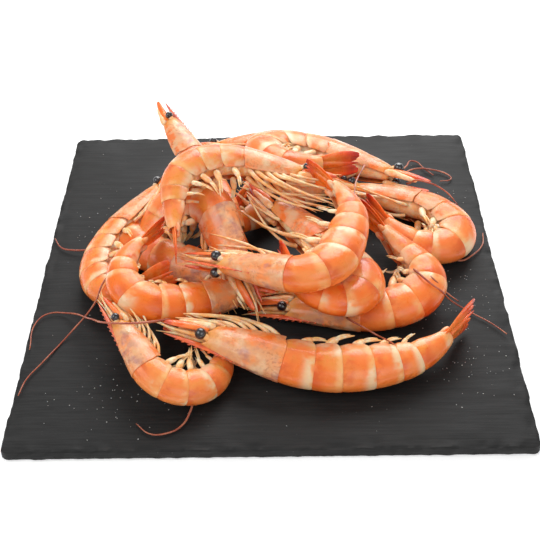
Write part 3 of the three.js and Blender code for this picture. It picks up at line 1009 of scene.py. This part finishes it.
# Places and radii of the thin mouth parts
MOUTH_TUBES = {
    "slim_stalk": (
        [(26, 1.6, 1.6), (20, 1.6, 2.2), (14, 1.5, 2.4), (9, 1.4, 2.6), (4, 2.0, 3.0), (-2, 3.2, 3.2)],
        [1.5, 1.4, 1.2, 0.8, 0.5, 0.2]),
    "whisker": (
        [(10, 1.3, 2.4), (5, 1.0, 1.6), (0, 0.4, 0.8), (-5, 0.6, -0.5)],
        [0.7, 0.5, 0.4, 0.15]),
    "mouth_leg": (
        [(33, 2.2, -7), (26, 2.6, -7.5), (18, 2.0, -6.4), (10, 1.5, -5.2), (5, 1.2, -4.5)],
        [1.6, 1.3, 1.1, 0.9, 0.2]),
}

base = smooth(mark(pull_ring("feeler_base", BASE_ROWS, 8)))
tubes = [mark(limb_tube(name, *tube)) for name, tube in MOUTH_TUBES.items()]
eye_stalk = smooth(mark(pull_ring("eye_stalk", EYE_STALK_ROWS, 8)))
small = [base] + tubes + [eye_stalk]
for piece in small:
    piece.data.materials.append(limb_skin)
for piece in tubes:
    limb_of(piece, MOUTH_PARTS, -1, (26, 0, 0))
small += [mirrored(piece) for piece in small]
print("small head pieces:", len(small))

# %% Eyes
EYE = {"at": 21, "radius": 2.9, "side": 4.6, "rise": 3.2}
bpy.ops.object.select_all(action="DESELECT")
bpy.ops.mesh.primitive_uv_sphere_add(
    segments=24, ring_count=14, radius=EYE["radius"] * MM,
    location=(EYE["at"] * MM, EYE["side"] * MM, EYE["rise"] * MM))
eye = bpy.context.object
eye.name = "eye"
bpy.ops.object.transform_apply(location=True)
eye.data.materials.append(eye_black)
mark(eye)
print("an eye has", len(eye.data.polygons), "faces")

# %% [markdown]
# ## The three masters
# Shells, soft parts and eyes take different finishes, so the pieces of each kind are joined into
# one master. Linked copies would save memory, but they share one mesh, and here every copy is bent
# in its own way. Shading is soft only between nearly level faces, so the rims of the shells stay
# crisp.

# %% The three masters
SMOOTH_WITHIN = 50


def master(pieces, name):
    """Joins all pieces of one kind, with soft shading between nearly level faces."""
    piece = merged(pieces, name)
    only(piece)
    bpy.ops.object.shade_smooth_by_angle(angle=math.radians(SMOOTH_WITHIN))
    return piece


shell_master = master(shells + [head, beak] + blades + fan, "shell_master")
legs_master = master([belly] + legs + paddles + small, "legs_master")
eyes_master = master([eye, mirrored(eye)], "eyes_master")
masters = {"shell": shell_master, "legs": legs_master, "eyes": eyes_master}
for name, piece in masters.items():
    print(name, "master:", len(piece.data.vertices), "vertices")

# %% [markdown]
# ## Bending a shrimp
# A Curve modifier bends a mesh along a curve, but it can't twist the head apart from the tail, and
# it would need fifteen curves with a tilt at every point. The solids of the frame were curled by
# a short rule: three bends along the tail, a sideways sway and a turn of the head. The same rule
# is repeated here for arrays of vertices, so that the skins fit the solids exactly.

# %% The heap
# Place of the waist, heading, pitch, roll, bends of the tail, sway, turn of the head, size, fan,
# paleness, and how deep the red of the fan and blades is
HEAP = {
    "shrimp_top": ((-13, 30, 54), -7, -9, -71, (30, 66, 8), 4, -11, 0.83, 0.3, 0.45, 0.5),
    "shrimp_centre": ((10, -49, 45.5), 156, -10, -81, (89, 11, 59), 23, 20, 0.96, 0.1, 0.15, 0.8),
    "shrimp_middle": ((-28, 6, 36), -69, -17, -49, (73, 79, 47), 11, 4, 0.99, 0.4, 0.25, 0.5),
    "shrimp_under": ((27, -9, 30), 130, 3, 97, (4, 111, 81), -3, -9, 0.98, 0.4, 0.10, 0.9),
    "shrimp_head_up": ((-47, 68, 33), 117, 11, 67, (-4, 0, 7), -3, 0, 0.76, 0.4, 0.65, 0.2),
    "shrimp_across": ((-34, -40, 20), 31, -14, 96, (13, 97, 45), -11, 0, 0.89, 0.4, 0.05, 0.6),
    "shrimp_front": ((6, -80, 18), 163, 7, -95, (18, 11, 33), 9, 3, 1.00, 1.3, 0.2, 0.7),
    "shrimp_lower_right": ((46, -45, 15), 171, -5, -88, (33, 100, 4), 18, -2, 0.96, 0.4, 0.15, 0.7),
    "shrimp_right": ((84, 39, 16), 161, 3, 87, (51, 115, 51), -9, 17, 0.96, 0.1, 0.25, 0.9),
    "shrimp_back_right": ((37, 84, 19), -29, -1, -107, (44, 113, 62), 7, 6, 1.06, 0.2, 0.3, 1.0),
    "shrimp_left": ((-82, 21, 17.5), 55, 9, -109, (26, 36, 84), -4, -1, 0.89, 0.5, 0.2, 0.4),
    "shrimp_corner": ((-58, -88, 22.5), 123, 12, -76, (64, 59, 34), -1, 0, 0.74, 0.4, 0.35, 0.6),
    "shrimp_inner": ((-47, -10, 18.5), -27, 4, 93, (8, 69, 58), 6, 8, 0.92, 0.4, 0.2, 0.6),
    "shrimp_back_left": ((-1, 104, 14.5), 185, -1, 104, (112, 25, -19), 12, 1, 0.82, 0.4, 0.1, 0.8),
    "shrimp_below": ((18, 50, 16), 31, 3, 127, (0, -3, -6), -18, 0, 0.70, 0.4, 0.1, 0.9),
}
POSE_NAMES = [
    "waist", "heading", "pitch", "roll", "curl", "sway", "head_turn", "size", "fan", "pale", "deep",
]
poses = {name: dict(zip(POSE_NAMES, row)) for name, row in HEAP.items()}
print("shrimp in the heap:", len(poses))

# %% [markdown]
# ## How the limbs lie
# Cooked shrimp lose legs, and those that are left lie as the cook dropped them. Drawing every leg
# by hand would take long and look no looser. So only what the eye notices is set for each shrimp:
# which legs are left, how far they hang, and how far the paddles are folded back. The rest is
# drawn at random later on, with a fixed seed.

# %% How the limbs of each shrimp lie
# legs: the walking legs that are left. hang: how far they may hang down, in degrees.
# reach: how long they are. fold: how far the paddles turn to the rear. paddle: their length.
ALL_LEGS = (0, 1, 2, 3, 4, 5)
USUAL_LIMBS = {"legs": ALL_LEGS, "hang": 5, "reach": 1.0, "fold": 32, "paddle": 1.0}
LIMBS = {
    "shrimp_top": {"hang": 22, "reach": 1.28, "fold": 4},
    "shrimp_centre": {"hang": 4, "reach": 1.1, "fold": 20},
    "shrimp_under": {"legs": (1, 4), "hang": 14},
    "shrimp_head_up": {"legs": (), "fold": 40},
    "shrimp_front": {"hang": 6, "fold": 74, "paddle": 0.7},
    "shrimp_across": {"fold": 70, "paddle": 0.4},
    "shrimp_inner": {"legs": (), "fold": 40},
    "shrimp_right": {"legs": (2, 5), "hang": 6, "reach": 0.9},
    "shrimp_back_right": {"legs": (), "fold": 40},
    "shrimp_corner": {"hang": 6, "fold": 25},
}
for name, pose in poses.items():
    pose.update({**USUAL_LIMBS, **LIMBS.get(name, {})})
maimed = [name for name, pose in poses.items() if len(pose["legs"]) < len(ALL_LEGS)]
print("shrimp that have lost legs:", maimed)

# %% The spine of a bent shrimp
def spread_out(angles, directions):
    """Each direction times the number for each vertex."""
    return np.asarray(angles)[:, None] * np.asarray(directions)


def turned(first, second, angle):
    """Two crossing directions turned by an angle within their plane."""
    cos, sin = np.cos(angle)[:, None], np.sin(angle)[:, None]
    return first * cos + second * sin, second * cos - first * sin


def axes_at(pose, at):
    """Directions to the rear, to the right and to the back, at some distances from the tip."""
    heading, pitch, roll = (math.radians(pose[key]) for key in ("heading", "pitch", "roll"))
    plan = math.cos(pitch)
    ahead = np.array([math.cos(heading) * plan, math.sin(heading) * plan, math.sin(pitch)])
    flat = np.array([math.sin(heading), -math.cos(heading), 0])
    lift = np.cross(flat, ahead)
    up = lift * math.cos(roll) + flat * math.sin(roll)
    side = flat * math.cos(roll) - lift * math.sin(roll)
    bend = sum(
        math.radians(angle) * np.clip((at - start) / (end - start), 0, 1)
        for angle, start, end in zip(pose["curl"], BEND_ENDS, BEND_ENDS[1:]))
    sway = math.radians(pose["sway"]) * np.clip((at - WAIST) / (BEND_ENDS[3] - WAIST), 0, 1)
    turn = math.radians(pose["head_turn"]) * np.clip((BEND_ENDS[1] - at) / (BEND_ENDS[1] - WAIST), 0, 1)
    along = spread_out(-np.cos(bend), ahead) + spread_out(-np.sin(bend), up)
    normal = spread_out(np.cos(bend), up) - spread_out(np.sin(bend), ahead)
    rear, across = turned(along, np.tile(side, (len(at), 1)), sway)
    back, right = turned(normal, across, turn)
    return rear, right, back


def spine_of(pose):
    """Places on the spine, in millimetres, for every millimetre behind the waist."""
    middles = np.arange(WAIST, LENGTH + 2) + 0.5
    steps = axes_at(pose, middles)[0] * pose["size"]
    return np.vstack([[0, 0, 0], np.cumsum(steps, axis=0)]) + np.array(pose["waist"])


def bent(pose, spots, roots):
    """Where points of the straight shrimp lie on the bent one. A limb keeps straight at its root."""
    spine = spine_of(pose)
    at = np.where(roots >= 0, roots, spots[:, 0])
    rear, right, back = axes_at(pose, at)
    behind = np.clip(at - WAIST, 0, len(spine) - 1.001)
    low = behind.astype(int)
    share = (behind - low)[:, None]
    base = spine[low] * (1 - share) + spine[low + 1] * share
    ahead_of_waist = np.minimum(at - WAIST, 0) + (spots[:, 0] - at)
    offset = rear * ahead_of_waist[:, None] + right * spots[:, 1:2] + back * spots[:, 2:3]
    return base + offset * pose["size"]


lengths = {name: round(LENGTH * pose["size"]) for name, pose in poses.items()}
print("lengths in millimetres:", lengths)

# %% [markdown]
# ## Loosening the limbs
# If all the copies kept the master's limbs, the heap would look stamped. So before a copy is bent,
# every leg, paddle, blade and fan leaf turns a little about its own root. They could be turned by
# hand in edit mode, but there are nearly thirty of them on each shrimp. A short rule with a seeded
# random draw gives every shrimp its own looseness at once.

# %% Loosening the limbs
# Angles are in degrees. A limb swings by a normal draw with this spread.
LEG_SWING = 7.0
LEG_SWING_ALONG = 0.5
LEG_LENGTHS = (0.86, 1.0)
PADDLE_SWING = 9.0
PADDLE_INWARD = 2
FAN_OPENS = {OUTER_LEAF: 20, INNER_LEAF: 9}
FAN_WIDENS = 0.3
BLADE_OPENS = 6
PADDLE_REACH = 7
PADDLE_SPACE = 1
LEAST_PADDLE = 0.45


def rotation(axis, degrees):
    """A turn about one of the three axes, as a matrix for numpy."""
    return np.array(Matrix.Rotation(math.radians(degrees), 3, axis))


def paddle_share(pose, at, deep):
    """How much of a paddle's depth fits inside the curl of the tail."""
    radii = [
        (end - start) / math.radians(angle)
        for angle, start, end in zip(pose["curl"], BEND_ENDS, BEND_ENDS[1:])
        if angle > 0 and start - PADDLE_REACH < at < end + PADDLE_REACH]
    free = min(radii, default=math.inf) - body_size("height", at) / 2 - PADDLE_SPACE
    return min(max(free / deep, LEAST_PADDLE), 1)


def loose_limb(pose, number, side, arm, dice):
    """Turns and stretches one limb, given from its root, as loosely as its kind allows."""
    if number in FAN_OPENS:
        turn = rotation("Z", side * FAN_OPENS[number] * pose["fan"])
        return arm * (1, 1 + FAN_WIDENS * pose["fan"], 1) @ turn.T
    if number == BLADE:
        return arm @ rotation("Z", -side * dice.uniform(0, BLADE_OPENS)).T
    if number >= FIRST_PADDLE:
        share = paddle_share(pose, *PADDLES[number - FIRST_PADDLE])
        swing = dice.normal(0, PADDLE_SWING, 2)
        outward = side * (abs(swing[1]) - PADDLE_INWARD)
        turn = rotation("Y", swing[0] - pose["fold"]) @ rotation("X", outward)
        return arm * (1, 1, share * pose["paddle"]) @ turn.T
    swing = dice.normal(0, LEG_SWING, 2)
    hang = pose["hang"] * dice.uniform(0, 1)
    turn = rotation("Y", swing[0] * LEG_SWING_ALONG - hang) @ rotation("Z", swing[1])
    return arm * dice.uniform(*LEG_LENGTHS) * pose["reach"] @ turn.T


def loosened(pose, piece, spots, dice):
    """Turns every limb of a piece a little about its root, apart from the mouth parts."""
    if "limb" not in piece.data.attributes:
        return spots
    numbers, sides = read_mark(piece, "limb"), read_mark(piece, "side")
    pivots = read_mark(piece, "pivot", 3) / MM
    for number in sorted(set(numbers[sides != 0].astype(int)) - {MOUTH_PARTS}):
        for side in (1, -1):
            chosen = (numbers == number) & (sides == side)
            pivot = pivots[chosen][0]
            spots[chosen] = pivot + loose_limb(pose, number, side, spots[chosen] - pivot, dice)
    return spots


def without_lost_legs(pose, piece):
    """Deletes the walking legs that a shrimp has lost, and the mouth parts of one that has none."""
    lost = [number for number in ALL_LEGS if number not in pose["legs"]]
    if not pose["legs"]:
        lost.append(MOUTH_PARTS)
    if not lost or "limb" not in piece.data.attributes:
        return
    chosen = np.isin(read_mark(piece, "limb"), lost) & (read_mark(piece, "side") != 0)
    edit_all(piece)
    shape = bmesh.from_edit_mesh(piece.data)
    for vert, gone in zip(shape.verts, chosen):
        vert.select_set(bool(gone))
    shape.select_flush_mode()
    bmesh.update_edit_mesh(piece.data)
    bpy.ops.mesh.delete(type="VERT")
    leave_edit()


print("degrees that the outer and inner leaves open:", list(FAN_OPENS.values()))

# %% [markdown]
# ## Placing the shrimp
# Each shrimp is three pieces: shells, legs with the belly, and eyes. The three masters are copied
# with their own meshes, loosened and bent. The marks stay on the vertices, and `rest` gets a
# random shift, so that no two shrimp show the same blotches.

# %% Placing the shrimp
BLOTCH_SEED = 100
BLOTCH_SHIFT = (0.1, 0.9)


def place_shrimp(name, pose, seed):
    """Copies the three masters, bends them, and tells the frame what they stand for."""
    for kind, source in masters.items():
        only(source)
        bpy.ops.object.duplicate(linked=False)
        piece = bpy.context.object
        piece.name = f"{name}_{kind}"
        dice = np.random.default_rng(seed)
        without_lost_legs(pose, piece)
        count = len(piece.data.vertices)
        spots = loosened(pose, piece, places(piece), dice)
        curled = bent(pose, spots, read_mark(piece, "root")) * MM
        piece.data.vertices.foreach_set("co", curled.ravel())
        piece.data.update()
        shift = np.random.default_rng(seed + BLOTCH_SEED).uniform(*BLOTCH_SHIFT, 3)
        write_mark(piece, "rest", read_mark(piece, "rest", 3) + shift, "FLOAT_VECTOR")
        write_mark(piece, "pale", np.full(count, pose["pale"]))
        write_mark(piece, "deep", np.full(count, pose["deep"]))
        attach(piece, "root")
    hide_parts(name)


for seed, (name, pose) in enumerate(poses.items()):
    place_shrimp(name, pose, seed)
for piece in masters.values():
    bpy.data.objects.remove(piece)
print("shrimp placed:", len(poses))

# %% [markdown]
# ## Feelers
# A shrimp's long feelers are as thin as fishing line, and they lie where they fell: some run over
# the slate, some hang over another shrimp. Each is a Bezier curve through a few chosen places, with
# a round section that thins towards the end, turned into a mesh. A particle hair would be lost in
# the export. The last stretch of a dried feeler is pale; the mark `along` runs down each feeler,
# but the feeler's colour doesn't read it.

# %% Feelers
# Places along each feeler in millimetres, from its root to its tip
FEELERS = {
    "shrimp_front": [
        [(-49, -61, 27), (-62, -70, 34), (-76, -70, 34), (-91, -53, 20), (-107, -37, 8),
         (-117, -37, 7.4), (-122, -43, 7.2), (-122, -62, 7.2)]],
    "shrimp_lower_right": [
        [(74, -19, 22), (77, -34, 30), (82, -40, 29), (87, -42, 26), (92, -38, 17), (98, -35, 9),
         (107, -41, 7.2), (114, -47, 7.2), (121, -55, 7.2)],
        [(81, -22, 22), (83, -35, 28.5), (87, -38, 26), (92, -37, 19), (99, -35, 11)],
        [(39, -47, 13), (41, -60, 23), (46, -63, 22), (52, -64, 18), (57, -73, 23), (60, -81, 28)]],
    "shrimp_right": [
        [(97, 0, 14), (105, 0, 8), (114, 6, 7.4), (120, 14, 7.2), (122, 24, 7.2)]],
    "shrimp_back_right": [
        [(77, 66, 15), (90, 82, 10), (101, 84, 7.6), (110, 79, 7.2), (111, 75, 7.2), (104, 73, 7.2)],
        [(76, 66, 16), (84, 82, 12), (91, 93, 7.6), (96, 86, 7.2), (101, 79, 7.2)],
        [(82, 61, 15), (90, 40, 32), (100, 40, 26), (110, 44, 12)],
        [(58, 78, 17), (54, 48, 37), (49, 29, 44), (46, 11, 52), (45, 2, 54)]],
    "shrimp_left": [
        [(-97, 12, 9), (-112, 13, 8), (-118, 16, 7.2), (-123, 24, 7.2)]],
    "shrimp_corner": [
        [(-36, -96, 12), (-38, -104, 8), (-42, -112, 7.2), (-49, -116, 7.2), (-56, -116, 7.2),
         (-63, -110, 7.2)]],
    "shrimp_across": [
        [(-68, -31, 36), (-75, -36, 40.5), (-83, -40, 34), (-90, -43, 20), (-103, -52, 8),
         (-114, -71, 7.2), (-120, -82, 7.2), (-122, -92, 7.2)]],
}
FEELER_THICK = 0.62
FEELER_THIN = 0.28
FEELER_BENDS = 10


def feeler_tube(name, stops):
    """A thin tube through its stops, in millimetres, that tapers from the first to the last."""
    line, spline = round_line(name, "BEZIER")
    line.resolution_u = FEELER_BENDS
    spline.bezier_points.add(len(stops) - 1)
    for index, (point, stop) in enumerate(zip(spline.bezier_points, stops)):
        point.co = Vector(stop) * MM
        point.handle_left_type = point.handle_right_type = "AUTO"
        point.radius = FEELER_THICK + (FEELER_THIN - FEELER_THICK) * index / (len(stops) - 1)
    piece = as_mesh(name, line)
    spots = places(piece)
    route = np.array(stops)
    reach = np.linalg.norm(spots - route[0], axis=1)
    write_mark(piece, "along", reach / reach.max())
    write_mark(piece, "rest", spots * MM, "FLOAT_VECTOR")
    piece.data.materials.append(feeler_red)
    return faces_out(piece)


for name, routes in FEELERS.items():
    tubes = [feeler_tube(f"{name}_feeler", route) for route in routes]
    piece = merged(tubes, f"{name}_feelers")
    bpy.ops.object.shade_smooth()
    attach(piece, "root")
print("feelers:", sum(len(routes) for routes in FEELERS.values()))

# %% [markdown]
# ## The slate board
# The board is a sheet of split slate: its face has a fine grain of cleft lines, its edge is broken
# by hand, not sawn, so that small scallops run all round it. A fine grid is extruded upwards into
# a plate. Displace modifiers then lower the face along stretched noise and chip the rim, each held
# to its place by a vertex group. A bump map alone would leave the outline too clean.

# %% Slate plate
BOARD_SIDE = 250
BOARD_THICKNESS = 6
BOARD_CORNER = 3.5
BOARD_CELLS = 160
# Height of each step of the edge, and how far it stands back from the widest place
BOARD_STEPS = [(0.0, 0.6), (0.8, 0.0), (3.3, 0.1), (4.9, 0.3), (6.0, 0.8)]
UNDERSIDE_BELOW = 0.01

bpy.ops.object.select_all(action="DESELECT")
bpy.ops.mesh.primitive_grid_add(
    x_subdivisions=BOARD_CELLS, y_subdivisions=BOARD_CELLS, size=BOARD_SIDE * MM, location=(0, 0, 0))
slate = bpy.context.object
slate.name = "slate_face"
half = BOARD_SIDE / 2
for vert in slate.data.vertices:
    spot = np.array(vert.co[:2]) / MM
    corner = np.abs(spot) - (half - BOARD_CORNER)
    if corner.min() > 0:
        rounded = corner * corner.max() / np.linalg.norm(corner)
        vert.co[:2] = np.sign(spot) * (half - BOARD_CORNER + rounded) * MM
edit_all(slate)
height, inset = BOARD_STEPS[0]
share = (half - inset) / half
bpy.ops.transform.resize(value=(share, share, 1), center_override=(0, 0, 0))
for (low, before), (high, after) in zip(BOARD_STEPS, BOARD_STEPS[1:]):
    bpy.ops.mesh.extrude_region_move(TRANSFORM_OT_translate={"value": (0, 0, (high - low) * MM)})
    growth = (half - after) / (half - before)
    bpy.ops.transform.resize(value=(growth, growth, 1), center_override=(0, 0, 0))
bpy.ops.mesh.select_all(action="DESELECT")
shape = bmesh.from_edit_mesh(slate.data)
for face in shape.faces:
    face.select_set(all(vert.co.z < UNDERSIDE_BELOW * MM for vert in face.verts))
bmesh.update_edit_mesh(slate.data)
bpy.ops.mesh.dissolve_faces()
leave_edit()
faces_out(slate)
print("slate:", len(slate.data.vertices), "vertices")

# %% Slate relief
RIM_WIDTH = 9
RIM_FALLOFF = 1.5
EDGE_SHARE = 0.32
NEAR_FACE = 0.1
CLEFT_STRETCH = 0.18
SLATE_SMOOTH_WITHIN = 40


def weights(piece, name, values):
    """A vertex group that says how strongly a modifier acts on each vertex."""
    group = piece.vertex_groups.new(name=name)
    for index, value in enumerate(values):
        group.add([index], float(value), "REPLACE")


def noise_texture(name, size, depth=2, hard=False):
    """A cloud noise for a Displace modifier, with a size in metres."""
    texture = bpy.data.textures.new(name, "CLOUDS")
    texture.noise_scale = size
    texture.noise_depth = depth
    texture.noise_type = "HARD_NOISE" if hard else "SOFT_NOISE"
    return texture


def stretch(piece, factor):
    """Squeezes or stretches the piece along X, so that a round noise comes out as long lines."""
    edit_all(piece)
    bpy.ops.transform.resize(value=(factor, 1, 1), center_override=(0, 0, 0))
    leave_edit()


spots = places(slate)
from_edge = np.clip((half - np.abs(spots[:, :2]).max(axis=1)) / RIM_WIDTH, 0, 1)
top = (spots[:, 2] > BOARD_THICKNESS - NEAR_FACE).astype(float)
side = (spots[:, 2] > NEAR_FACE).astype(float) * (from_edge < EDGE_SHARE)
weights(slate, "face", top)
weights(slate, "rim", top * (1 - from_edge) ** RIM_FALLOFF)
weights(slate, "edge", side)
stretch(slate, CLEFT_STRETCH)
finish_with(slate, "DISPLACE", texture=noise_texture("cleft", 0.0032, 3), direction="Z",
            strength=0.45 * MM, mid_level=1.0, vertex_group="face")
stretch(slate, 1 / CLEFT_STRETCH)
finish_with(slate, "DISPLACE", texture=noise_texture("scallops", 0.011, 1, True), direction="Z",
            strength=1.7 * MM, mid_level=0.65, vertex_group="rim")
finish_with(slate, "DISPLACE", texture=noise_texture("chips", 0.007, 2), direction="NORMAL",
            strength=1.8 * MM, mid_level=0.48, vertex_group="edge")
for vert in slate.data.vertices:
    vert.co.z = min(max(vert.co.z, 0), BOARD_THICKNESS * MM)
slate.vertex_groups.clear()
bpy.ops.object.shade_smooth_by_angle(angle=math.radians(SLATE_SMOOTH_WITHIN))
heights = places(slate)[:, 2][top > 0]
print("height of the face:", round(heights.min(), 2), "to", round(heights.max(), 2), "mm")

# %% [markdown]
# ## The slate's finish
# Split slate is nearly black. Fine lines run along the way it was split, a few clouds are worn
# paler, and dust sits in the pits. A photographed texture would repeat or blur close up. A noise
# squeezed in one direction gives the lines at any distance, and Voronoi cells give scattered dust.

# %% Slate material
SLATE_DARK = (0.009, 0.009, 0.009)
SLATE_LINE = (0.016, 0.016, 0.016)
SLATE_WORN = (0.030, 0.029, 0.028)
SLATE_DUST = (0.16, 0.155, 0.15)

slate_skin, tree, surface = new_material("split_slate", IOR=1.3)
spot = add(tree, "TexCoord").outputs["Object"]
drawn_out = add(tree, "Mapping", {"Vector": spot, "Scale": (40.0, 900.0, 900.0)}).outputs[0]
lines = add(
    tree, "TexNoise",
    {"Vector": drawn_out, "Scale": 1.0, "Detail": 5.0, "Roughness": 0.7}).outputs["Fac"]
clouds = add(tree, "TexNoise", {"Vector": spot, "Scale": 18.0, "Detail": 4.0}).outputs["Fac"]
grain = add(tree, "TexNoise", {"Vector": spot, "Scale": 1500.0, "Detail": 3.0}).outputs["Fac"]
colour = blend(tree, ramp(tree, lines, 0.35, 0.65), SLATE_DARK, SLATE_LINE)
colour = stain(tree, colour, SLATE_WORN, 0.35, ramp(tree, clouds, 0.40, 0.70))
grains = add(tree, "TexVoronoi", {"Vector": spot, "Scale": 300.0}).outputs["Distance"]
dusty = add(tree, "TexNoise", {"Vector": spot, "Scale": 60.0}).outputs["Fac"]
colour = stain(
    tree, colour, SLATE_DUST, 0.35, ramp(tree, grains, 0.12, 0.03), ramp(tree, dusty, 0.52, 0.66))
tree.links.new(colour, surface.inputs["Base Color"])
tree.links.new(ramp(tree, clouds, 0.3, 0.7, 0.52, 0.66), surface.inputs["Roughness"])
height = add(tree, "Math", {0: lines, 1: times(tree, grain, 0.35)}, operation="ADD").outputs[0]
relief = add(tree, "Bump", {"Height": height, "Strength": 0.35, "Distance": 0.0003})
tree.links.new(relief.outputs["Normal"], surface.inputs["Normal"])
slate.data.materials.append(slate_skin)
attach(slate, "root")
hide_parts("slate_board")
print(slate_skin.name, "has", len(tree.nodes), "nodes")

# %% [markdown]
# ## Specks on the slate
# Grains of salt and bits of shell lie scattered on the board, most of them at the right and at the
# left in front. One flat chip is modelled, copied to each place with its own turn and size, and
# all the copies are joined. Places are drawn at random with a fixed seed, around a few centres.

# %% Specks
# Each centre has its X and Y, how far its specks spread, and how many it has
SPECK_CENTRES = [
    (-75, -90, 16, 50), (95, -20, 14, 70), (106, 60, 12, 40), (98, -72, 14, 60), (-95, 30, 16, 50),
    (0, 0, 75, 110)]
SPECK_SIZES = (0.18, 0.42)
SPECK_SUNK = 0.15
SPECK_FROM_EDGE = 6
SPECK_SEED = 7
SPECK_PALE = (0.40, 0.39, 0.37)
SPECK_GREY = (0.26, 0.25, 0.24)

bpy.ops.object.select_all(action="DESELECT")
bpy.ops.mesh.primitive_ico_sphere_add(subdivisions=1, radius=MM)
chip = bpy.context.object
edit_all(chip)
bpy.ops.transform.resize(value=(1, 0.8, 0.5))
leave_edit()
speck_paint, tree, surface, rest = food_material("speck_white", 0.0004, 0.2, dry=0.5, wet=0.35, glow=0.1)
spot = add(tree, "TexCoord").outputs["Object"]
hue = ramp(tree, add(tree, "TexNoise", {"Vector": spot, "Scale": 150.0}).outputs["Fac"], 0.42, 0.58)
tree.links.new(blend(tree, hue, SPECK_PALE, SPECK_GREY), surface.inputs["Base Color"])
chip.data.materials.append(speck_paint)
write_mark(chip, "rest", places(chip) * MM, "FLOAT_VECTOR")
dice = np.random.default_rng(SPECK_SEED)
chips = []
for x, y, spread, count in SPECK_CENTRES:
    for _ in range(count):
        spot = dice.normal((x, y), spread)
        radius, turn = dice.uniform(*SPECK_SIZES), dice.uniform(0, math.tau)
        if np.abs(spot).max() > half - SPECK_FROM_EDGE:
            continue
        copy = bpy.data.objects.new("speck", chip.data.copy())
        bpy.context.scene.collection.objects.link(copy)
        lifted = Vector((*spot, BOARD_THICKNESS - SPECK_SUNK)) * MM
        turned_chip = Matrix.Rotation(turn, 4, "Z") @ Matrix.Scale(radius, 4)
        copy.matrix_world = Matrix.Translation(lifted) @ turned_chip
        chips.append(copy)
bpy.data.objects.remove(chip)
specks = merged(chips, "specks")
bpy.ops.object.transform_apply(location=True, rotation=True, scale=True)
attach(specks, "root")
print("specks:", len(chips))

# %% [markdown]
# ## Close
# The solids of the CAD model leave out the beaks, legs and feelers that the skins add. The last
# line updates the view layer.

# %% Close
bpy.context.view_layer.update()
